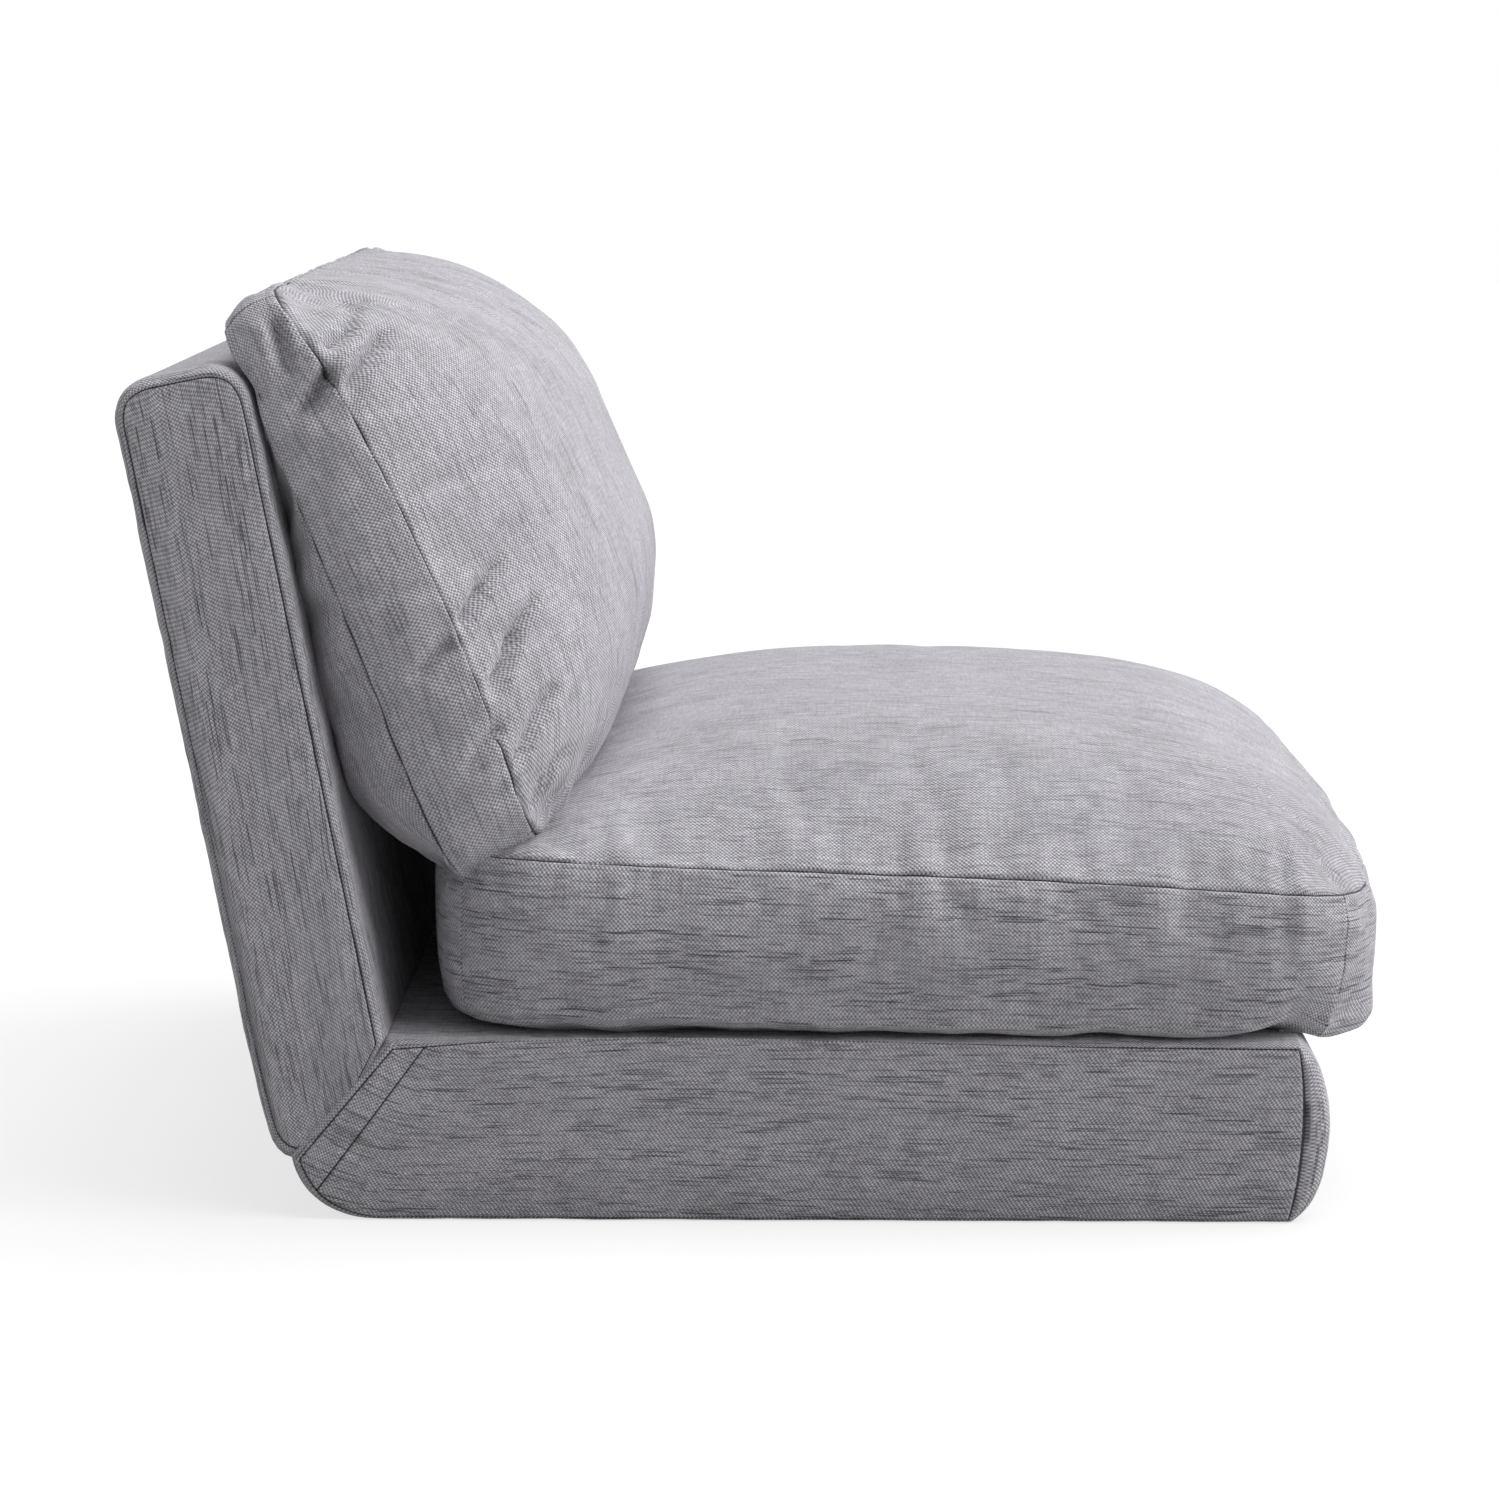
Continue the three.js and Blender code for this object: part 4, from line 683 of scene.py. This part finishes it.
class Zip:
    """A CAD zip's place: across it and out of its wall, and how deep in the wall its back lies."""

    def __init__(self, part):
        lean = ZIP_LEANS[part]
        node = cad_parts[part + "_zip"]
        corners = np.array([list(node.matrix_world @ v.co) for v in node.data.vertices])
        self.up = np.array([-math.sin(lean), 0, math.cos(lean)])
        self.out = np.array([-math.cos(lean), 0, -math.sin(lean)])
        across = corners @ self.up
        self.middle = (across.min() + across.max()) / 2
        self.back = (corners @ self.out).min()

    def point(self, along, across, out):
        """The place in the room that is so far along, across and out of the zip's back."""
        place = (self.middle + across) * self.up + (self.back + out) * self.out
        return place + np.array([0, along, 0])

    def sink(self, surface):
        """Lays the cloth around the zip into a shallow valley, under its tape and its pull."""
        across = np.abs(surface.points @ self.up - self.middle)
        out = surface.points @ self.out - self.back
        level = 0.0003 + VALLEY_STEP * ease((across - ZIP_HALF_WIDTH - 0.0015) / 0.004)
        weight = 1 - ease((across - VALLEY_HALF) / VALLEY_FADE)
        weight = weight * (1 - ease((np.abs(surface.points[:, 1]) - ZIP_HALF_LENGTH - 0.006) / VALLEY_END_FADE))
        weight = weight * ease((surface.normals @ self.out - 0.55) / 0.2) * (np.abs(out) < 0.045)
        excess = out - level
        low = 1 - ease((across - 0.010) / 0.010)
        move = np.where(excess > 0, excess, excess * low) * weight
        surface.points = surface.points - move[:, None] * self.out

    def lips(self, name, material, body):
        """The folded cloth edges round the tape: a flat tube on a racetrack."""
        radius, steps, sides = ZIP_HALF_WIDTH + 0.0026, 12, 8
        line = []
        for end in (1, -1):
            for turn in np.linspace(0, math.pi, steps):
                along = end * (ZIP_HALF_LENGTH + 0.001 + radius * math.sin(turn))
                line.append((along, end * radius * math.cos(turn), end * math.sin(turn), end * math.cos(turn)))
        half = len(line) // 2
        rows = []
        for start, stop in ((line[half - 1], line[half]), (line[-1], line[0])):
            count = round(abs(start[0] - stop[0]) / 0.006)
            rows.append([tuple(np.array(start) + (np.array(stop) - np.array(start)) * k / count) for k in range(1, count)])
        line = line[:half] + rows[0] + line[half:] + rows[1]
        points, cloth = [], []
        for k, (along, across, away_y, away_up) in enumerate(line):
            for turn in np.linspace(0, 2 * math.pi, sides, endpoint=False):
                width, height = 0.0026 * math.cos(turn), 0.0013 * math.sin(turn)
                points.append(self.point(along + away_y * width, across + away_up * width, 0.0012 + height))
                cloth.append((k * 0.006, 0.0015 * turn))
        form = SimpleNamespace(points=np.array(points), seam=np.zeros(len(points)), slub=np.zeros(len(points)))
        ids = np.arange(len(points)).reshape(len(line), sides)
        after, beside = np.roll(ids, -1, 0), np.roll(ids, -1, 1)
        both = np.roll(after, -1, 1)
        form.faces = np.stack([ids, beside, both, after], -1).reshape(-1, 4)[:, ::-1]
        form.cloth = np.array(cloth)[form.faces]
        obj = to_object(name, form)
        obj.data.shade_smooth()
        obj.data.materials.append(material)
        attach(obj, body)
        return obj


def copy_node(name, node, body=None):
    """A piece of the scene with the mesh and finish of a CAD node that it replaces."""
    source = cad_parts[node]
    obj = bpy.data.objects.new(name, source.data.copy())
    obj.matrix_world = source.matrix_world
    bpy.context.scene.collection.objects.link(obj)
    bpy.context.view_layer.update()
    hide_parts(node)
    if body:
        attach(obj, body)
    return obj


def bending_spring(side):
    """A pawl's spring strip: a copy of its CAD node, with its place baked into its mesh."""
    obj = copy_node("pawl_spring_strip_" + side, "pawl_spring_" + side)
    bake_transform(obj)


def hinge_webbing(name, node, body):
    """A strip of webbing in the place of a CAD hinge tape, its outer corners cut off."""
    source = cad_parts[node]
    corners = np.array([list(source.matrix_world @ v.co) for v in source.data.vertices])
    low, high = corners.min(0), corners.max(0)
    points, faces = [], []
    rows = np.linspace(low[1], high[1], 65)
    for y in rows:
        edge = high[0] - TAPE_CUT * ease((abs(y) - high[1] + TAPE_CUT_RUN) / TAPE_CUT_RUN)
        points += [(low[0], y, low[2]), (edge, y, low[2]), (edge, y, high[2]), (low[0], y, high[2])]
    for k in range(0, len(points) - 4, 4):
        faces += [(k + m, k + m + 4, k + (m + 1) % 4 + 4, k + (m + 1) % 4) for m in range(4)]
    last = len(points) - 4
    faces += [(0, 1, 2, 3), (last + 3, last + 2, last + 1, last)]
    mesh = bpy.data.meshes.new(name)
    mesh.from_pydata(points, [], faces)
    mesh.update()
    mesh.materials.append(source.data.materials[0])
    obj = bpy.data.objects.new(name, mesh)
    bpy.context.scene.collection.objects.link(obj)
    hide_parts(node)
    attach(obj, body)


def flatten_when_turned(obj):
    """The turned seat lies on its crown. Each piece of the seat only gets a mesh of its own here."""
    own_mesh(obj)


def finish_form(name, form, body, material, replaced, zipped, shape=None):
    obj = to_object(name, form)
    smooth = obj.modifiers.new("smooth", "SUBSURF")
    smooth.levels = 1
    smooth.render_levels = 1
    bpy.context.view_layer.objects.active = obj
    obj.select_set(True)
    bpy.ops.object.modifier_apply(modifier="smooth")
    obj.select_set(False)
    obj.data.shade_smooth()
    surface = Surface(obj)
    surface.push(surface.seam * SEAM_DEPTH)
    if shape:
        shape(surface, BVHTree.FromPolygons(surface.points.tolist(), [list(f.vertices) for f in obj.data.polygons]))
    zipped.sink(surface)
    surface.write()
    obj.data.materials.append(material)
    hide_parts(*replaced)
    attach(obj, body)
    return [obj, zipped.lips(name.replace("cushion", "zip_lips"), material, body)]


# The creases of the photographed side: depth and width in metres, then the path in its pixels
PILLOW_FOLDS = (
    (0.0070, 0.0075, ((345, 389), (368, 357), (380, 340), (392, 330))),
    (0.0075, 0.0080, ((331, 368), (316, 390), (288, 426))),
    (0.0060, 0.0075, ((272, 318), (279, 345), (287, 380))),
    (0.0065, 0.0070, ((326, 348), (346, 330), (356, 300))),
    (0.0062, 0.0068, ((461, 625), (481, 587), (505, 551))),
    (0.0068, 0.0072, ((491, 692), (513, 637), (539, 590))),
    (0.0045, 0.0080, ((455, 640), (434, 655), (412, 684))),
    (0.0055, 0.0070, ((515, 765), (538, 712), (560, 680))),
    (0.0050, 0.0065, ((533, 812), (551, 770), (574, 742))),
    (0.0045, 0.0080, ((500, 722), (480, 748), (460, 790))),
)


def shape_pillow(surface, tree):
    for side in (-1, 1):
        for k, (depth, width, path) in enumerate(PILLOW_FOLDS):
            shift = 0 if side < 0 else 9 * math.sin(2.3 * k)
            press_fold(surface, tree, [(x, y + shift) for x, y in path], 1.9 * depth, width, side)
    pucker(surface, lambda p: p[:, 2] > 0, 0.0028, 0.016, 0.030, 3.1)


def shape_seat(surface, tree):
    pucker(surface, lambda p: p[:, 2] > 0.215, 0.0056, 0.014, 0.030, 8.4)


def shape_slab(surface, tree):
    pucker(surface, lambda p: p[:, 2] > 0, 0.0010, 0.014, 0.030, 5.7)


# ---------------------------------------------------------------- materials


def new_material(name, color, roughness, metallic=0.0):
    material = bpy.data.materials.new(name)
    material.use_nodes = True
    shader = material.node_tree.nodes["Principled BSDF"]
    shader.inputs["Base Color"].default_value = (*color, 1)
    shader.inputs["Roughness"].default_value = roughness
    shader.inputs["Metallic"].default_value = metallic
    return material, material.node_tree, shader


def math_node(tree, operation, a, b=None):
    node = tree.nodes.new("ShaderNodeMath")
    node.operation = operation
    for socket, value in zip(node.inputs, (a, b)):
        if value is None:
            continue
        if isinstance(value, (int, float)):
            socket.default_value = value
        else:
            tree.links.new(value, socket)
    return node.outputs[0]


def stretched_noise(tree, place, along, across, detail, seed):
    """Noise over the cloth, with its grain count per metre along the threads and across them."""
    scaled = tree.nodes.new("ShaderNodeVectorMath")
    scaled.operation = "MULTIPLY_ADD"
    tree.links.new(place, scaled.inputs[0])
    scaled.inputs[1].default_value = (along, across, 1)
    scaled.inputs[2].default_value = (0, 0, seed)
    noise = tree.nodes.new("ShaderNodeTexNoise")
    noise.inputs["Scale"].default_value = 1
    noise.inputs["Detail"].default_value = detail
    tree.links.new(scaled.outputs[0], noise.inputs["Vector"])
    return noise.outputs["Fac"]


def ramp(tree, value, low, high, to_low=0.0, to_high=1.0):
    node = tree.nodes.new("ShaderNodeMapRange")
    node.interpolation_type = "SMOOTHSTEP"
    tree.links.new(value, node.inputs["Value"])
    for name, number in (("From Min", low), ("From Max", high), ("To Min", to_low), ("To Max", to_high)):
        node.inputs[name].default_value = number
    return node.outputs["Result"]


FABRIC_COLOR = (0.500, 0.484, 0.525)
THREAD_PITCH = 0.0031


def slubs(tree, place, row, length, rarity, seed):
    """Thick dark threads: straight dashes, each in its own row of the cloth and of its own darkness."""
    split = tree.nodes.new("ShaderNodeSeparateXYZ")
    tree.links.new(place, split.inputs[0])
    across = math_node(tree, "DIVIDE", split.outputs[1], row)
    line = math_node(tree, "FLOOR", across)
    shift = tree.nodes.new("ShaderNodeTexWhiteNoise")
    shift.noise_dimensions = "1D"
    tree.links.new(math_node(tree, "ADD", line, seed), shift.inputs["W"])
    along = math_node(tree, "ADD", math_node(tree, "DIVIDE", split.outputs[0], length), math_node(tree, "MULTIPLY", shift.outputs["Value"], 37.0))
    cell = tree.nodes.new("ShaderNodeCombineXYZ")
    tree.links.new(math_node(tree, "FLOOR", along), cell.inputs[0])
    tree.links.new(line, cell.inputs[1])
    cell.inputs[2].default_value = seed
    pick = tree.nodes.new("ShaderNodeTexWhiteNoise")
    pick.noise_dimensions = "3D"
    tree.links.new(cell.outputs[0], pick.inputs["Vector"])
    part = math_node(tree, "FRACT", along)
    middle = math_node(tree, "ABSOLUTE", math_node(tree, "SUBTRACT", part, 0.5))
    ends = ramp(tree, middle, 0.30, 0.48, 1.0, 0.0)
    height = math_node(tree, "ABSOLUTE", math_node(tree, "SUBTRACT", math_node(tree, "FRACT", across), 0.5))
    body = ramp(tree, height, 0.22, 0.5, 1.0, 0.0)
    here = ramp(tree, pick.outputs["Value"], rarity, 1.0)
    return math_node(tree, "MULTIPLY", here, math_node(tree, "MULTIPLY", ends, body))


def turned_cloth(tree, place):
    """The same cloth with its two thread directions changed over."""
    split = tree.nodes.new("ShaderNodeSeparateXYZ")
    tree.links.new(place, split.inputs[0])
    join = tree.nodes.new("ShaderNodeCombineXYZ")
    tree.links.new(split.outputs[1], join.inputs[0])
    tree.links.new(split.outputs[0], join.inputs[1])
    return join.outputs[0]


def less(tree, value, amount):
    """One minus an amount of a value."""
    return math_node(tree, "SUBTRACT", 1.0, math_node(tree, "MULTIPLY", value, amount))


def fabric_material():
    """A linen-look cloth: a fine weave, threads of uneven tone, dark slubs along it and a few across, and painted shade
    along its seams.
    """
    material, tree, shader = new_material("upholstery", FABRIC_COLOR, 0.92)
    attribute = tree.nodes.new("ShaderNodeAttribute")
    attribute.attribute_name = "cloth"
    place = attribute.outputs["Vector"]
    seam = tree.nodes.new("ShaderNodeAttribute")
    seam.attribute_name = "seam"
    split = tree.nodes.new("ShaderNodeSeparateXYZ")
    tree.links.new(place, split.inputs[0])
    turn = 2 * math.pi / THREAD_PITCH
    warp = math_node(tree, "SINE", math_node(tree, "MULTIPLY", split.outputs[0], turn))
    weft = math_node(tree, "SINE", math_node(tree, "MULTIPLY", split.outputs[1], turn))
    weave = math_node(tree, "MULTIPLY", warp, weft)
    slub = tree.nodes.new("ShaderNodeAttribute")
    slub.attribute_name = "slub"
    patch = ramp(tree, stretched_noise(tree, place, 16, 60, 2.0, 7.0), 0.36, 0.60, 0.45, 1.0)
    patch = math_node(tree, "MULTIPLY", patch, slub.outputs["Fac"])
    long_slubs = math_node(tree, "MULTIPLY", slubs(tree, place, 0.0017, 0.042, 0.55, 1.0), patch)
    short_slubs = math_node(tree, "MULTIPLY", slubs(tree, place, 0.0013, 0.016, 0.55, 5.0), patch)
    cross_slubs = slubs(tree, turned_cloth(tree, place), 0.0015, 0.024, 0.70, 9.0)
    thread = stretched_noise(tree, place, 70, 650, 2.0, 3.0)
    cross_thread = stretched_noise(tree, place, 480, 60, 2.0, 13.0)
    mottle = stretched_noise(tree, place, 14, 26, 3.0, 11.0)
    shade = ramp(tree, thread, 0.25, 0.75, 0.83, 1.15)
    shade = math_node(tree, "MULTIPLY", shade, ramp(tree, cross_thread, 0.25, 0.75, 0.90, 1.09))
    shade = math_node(tree, "MULTIPLY", shade, ramp(tree, mottle, 0.25, 0.75, 0.93, 1.06))
    shade = math_node(tree, "MULTIPLY", shade, ramp(tree, weave, -1.0, 1.0, 0.56, 1.37))
    shade = math_node(tree, "MULTIPLY", shade, less(tree, long_slubs, 0.60))
    shade = math_node(tree, "MULTIPLY", shade, less(tree, short_slubs, 0.48))
    shade = math_node(tree, "MULTIPLY", shade, less(tree, math_node(tree, "MULTIPLY", cross_slubs, slub.outputs["Fac"]), 0.14))
    # Painted shade: the cloth is darkened along its seams, where the sewn grooves lie in shade.
    shade = math_node(tree, "MULTIPLY", shade, less(tree, ramp(tree, seam.outputs["Fac"], 0.45, 0.85), 0.80))
    tint = tree.nodes.new("ShaderNodeVectorMath")
    tint.operation = "SCALE"
    tint.inputs[0].default_value = FABRIC_COLOR
    tree.links.new(shade, tint.inputs["Scale"])
    tree.links.new(tint.outputs[0], shader.inputs["Base Color"])
    height = math_node(tree, "ADD", weave, math_node(tree, "MULTIPLY", thread, 1.5))
    height = math_node(tree, "SUBTRACT", height, math_node(tree, "MULTIPLY", long_slubs, 0.8))
    bump = tree.nodes.new("ShaderNodeBump")
    bump.inputs["Distance"].default_value = 0.00045
    bump.inputs["Strength"].default_value = 0.9
    tree.links.new(height, bump.inputs["Height"])
    tree.links.new(bump.outputs[0], shader.inputs["Normal"])
    tree.links.new(ramp(tree, thread, 0.3, 0.7, 0.88, 0.98), shader.inputs["Roughness"])
    shader.inputs["Sheen Weight"].default_value = 0.12
    shader.inputs["Sheen Roughness"].default_value = 0.5
    shader.inputs["Specular IOR Level"].default_value = 0.2
    return material


def plain_material(name, color, roughness, metallic, grain, depth):
    """A finish with speckled colour, uneven roughness and a fine grain."""
    material, tree, shader = new_material(name, color, roughness, metallic)
    where = tree.nodes.new("ShaderNodeTexCoord")
    noise = tree.nodes.new("ShaderNodeTexNoise")
    noise.inputs["Scale"].default_value = grain
    noise.inputs["Detail"].default_value = 4
    tree.links.new(where.outputs["Object"], noise.inputs["Vector"])
    tint = tree.nodes.new("ShaderNodeVectorMath")
    tint.operation = "SCALE"
    tint.inputs[0].default_value = color
    tree.links.new(ramp(tree, noise.outputs["Fac"], 0.3, 0.7, 0.85, 1.12), tint.inputs["Scale"])
    tree.links.new(tint.outputs[0], shader.inputs["Base Color"])
    tree.links.new(ramp(tree, noise.outputs["Fac"], 0.3, 0.7, roughness * 0.85, min(1, roughness * 1.1)), shader.inputs["Roughness"])
    bump = tree.nodes.new("ShaderNodeBump")
    bump.inputs["Distance"].default_value = depth
    tree.links.new(noise.outputs["Fac"], bump.inputs["Height"])
    tree.links.new(bump.outputs[0], shader.inputs["Normal"])
    return material


def ribs(material):
    """Lays the coil's fine ribs across a zip's tape, over its own grain."""
    tree = material.node_tree
    where = tree.nodes["Texture Coordinate"]
    bump = tree.nodes["Bump"]
    split = tree.nodes.new("ShaderNodeSeparateXYZ")
    tree.links.new(where.outputs["Object"], split.inputs[0])
    wave = math_node(tree, "SINE", math_node(tree, "MULTIPLY", split.outputs[1], 2 * math.pi / 0.0026))
    old = bump.inputs["Height"].links[0].from_socket
    tree.links.new(math_node(tree, "ADD", old, wave), bump.inputs["Height"])


def dress_cad_nodes():
    """Gives every CAD node that stays a finish of its own."""
    painted = plain_material("painted_tube", (0.025, 0.026, 0.028), 0.5, 0.2, 900, 0.00005)
    zinc = plain_material("zinc_plate", (0.52, 0.53, 0.54), 0.36, 1.0, 250, 0.00002)
    spring = plain_material("spring_strip", (0.30, 0.31, 0.33), 0.3, 1.0, 250, 0.00001)
    cloth = plain_material("sole_cloth", (0.035, 0.035, 0.04), 0.95, 0.0, 1400, 0.0003)
    tape = plain_material("zip_tape", (0.19, 0.185, 0.205), 0.8, 0.0, 1600, 0.0002)
    webbing = plain_material("hinge_webbing", (0.40, 0.387, 0.42), 0.9, 0.0, 1200, 0.0003)
    slider = plain_material("zip_slider", (0.20, 0.20, 0.21), 0.4, 1.0, 400, 0.00002)
    ribs(tape)
    foam = plain_material("foam", (0.78, 0.70, 0.52), 0.95, 0.0, 1500, 0.0004)
    finishes = (
        ("_frame", painted),
        ("spring", spring),
        ("sole_cloth", cloth),
        ("hinge_tape", webbing),
        ("zip_slider", slider),
        ("zip", tape),
        ("leaf", zinc),
        ("arm", zinc),
        ("pin", zinc),
        ("rivet", zinc),
        ("pawl", zinc),
    )
    for name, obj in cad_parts.items():
        finish = next((finish for part, finish in finishes if part in name), foam)
        obj.data.materials.clear()
        obj.data.materials.append(finish)


# ---------------------------------------------------------------- stage


def add_sun(name, toward, strength, spread_degrees):
    """A soft even lamp: a wide sun that shines from a direction."""
    data = bpy.data.lights.new(name, "SUN")
    data.energy = strength
    data.angle = math.radians(spread_degrees)
    lamp = bpy.data.objects.new(name, data)
    lamp.rotation_euler = Vector(toward).to_track_quat("Z", "Y").to_euler()
    bpy.context.scene.collection.objects.link(lamp)


def seen_ray(tree):
    """1 for a ray from the camera, or one that metal or glass sends on."""
    path = tree.nodes.new("ShaderNodeLightPath")
    seen = math_node(tree, "MAXIMUM", path.outputs["Is Camera Ray"], path.outputs["Is Glossy Ray"])
    return math_node(tree, "MAXIMUM", seen, path.outputs["Is Transmission Ray"])


FLOOR_GLOW = 0.72


def add_floor():
    mesh = bpy.data.meshes.new("floor")
    reach = 12
    mesh.from_pydata([(-reach, -reach, 0), (reach, -reach, 0), (reach, reach, 0), (-reach, reach, 0)], [], [(0, 1, 2, 3)])
    floor = bpy.data.objects.new("floor", mesh)
    bpy.context.scene.collection.objects.link(floor)
    material, tree, shader = new_material("floor", (0.9, 0.9, 0.9), 1.0)
    shader.inputs["Specular IOR Level"].default_value = 0
    seen = seen_ray(tree)
    mix = tree.nodes.new("ShaderNodeMix")
    mix.data_type = "RGBA"
    tree.links.new(seen, mix.inputs["Factor"])
    mix.inputs[6].default_value = (0.45, 0.45, 0.45, 1)
    mix.inputs[7].default_value = (0.93, 0.93, 0.93, 1)
    tree.links.new(mix.outputs[2], shader.inputs["Base Color"])
    white = tree.nodes.new("ShaderNodeEmission")
    white.inputs["Strength"].default_value = 1
    blend = tree.nodes.new("ShaderNodeMixShader")
    tree.links.new(math_node(tree, "MULTIPLY", seen, FLOOR_GLOW), blend.inputs[0])
    tree.links.new(shader.outputs[0], blend.inputs[1])
    tree.links.new(white.outputs[0], blend.inputs[2])
    tree.links.new(blend.outputs[0], tree.nodes["Material Output"].inputs["Surface"])
    mesh.materials.append(material)


def add_world():
    world = bpy.data.worlds.new("studio")
    bpy.context.scene.world = world
    world.use_nodes = True
    tree = world.node_tree
    back = tree.nodes["Background"]
    back.inputs["Color"].default_value = (1, 1, 1, 1)
    strength = math_node(tree, "MULTIPLY_ADD", seen_ray(tree), 0.83)
    tree.nodes[-1].inputs[2].default_value = 0.17
    tree.links.new(strength, back.inputs["Strength"])


def build():
    add_camera()
    bpy.context.scene.view_settings.view_transform = "Standard"
    add_world()
    add_floor()
    add_sun("overhead", (0.22, 0.10, 1.0), 2.40, 50)
    add_sun("front_window", (1.0, 0.0, 0.40), 2.50, 60)
    add_sun("room", (-0.1, -1.0, 0.2), 0.14, 90)
    add_sun("rear", (-1.0, 0.35, 0.35), 0.65, 60)
    fabric = fabric_material()
    dress_cad_nodes()
    base = base_form()
    back = back_form()
    seat = seat_form()
    pillow = pillow_form()
    for name, form in (("base", base), ("back", back), ("seat", seat), ("pillow", pillow)):
        form.name = name
        print(name, len(form.points), "points", form.points.min(0).round(4), form.points.max(0).round(4))
    stuff(seat, 3.5, 0.03, 0.022, share=0.5)
    stuff(pillow, 3.5, 0.03, 0.022)
    finish_form("base_cushion", base, "base", fabric, ["base_cover", "base_foam"], Zip("base"), shape_slab)
    finish_form("back_cushion", back, "backrest", fabric, ["back_cover", "back_foam"], Zip("back"), shape_slab)
    seat_nodes = ["seat_cover", "seat_foam", "seat_crown_fill"]
    turned = finish_form("seat_cushion", seat, "seat", fabric, seat_nodes, Zip("seat"), shape_seat)
    turned.append(copy_node("seat_zip_tape", "seat_zip", "seat"))
    turned.append(copy_node("seat_zip_pull", "seat_zip_slider", "seat_zip_slider"))
    for obj in turned:
        flatten_when_turned(obj)
    hinge_webbing("base_hinge_webbing", "base_hinge_tape", "base")
    hinge_webbing("seat_hinge_webbing", "seat_hinge_tape", "seat")
    bending_spring("left")
    bending_spring("right")
    finish_form("pillow_cushion", pillow, "pillow", fabric, ["pillow_cover", "pillow_fill"], Zip("pillow"), shape_pillow)


build()
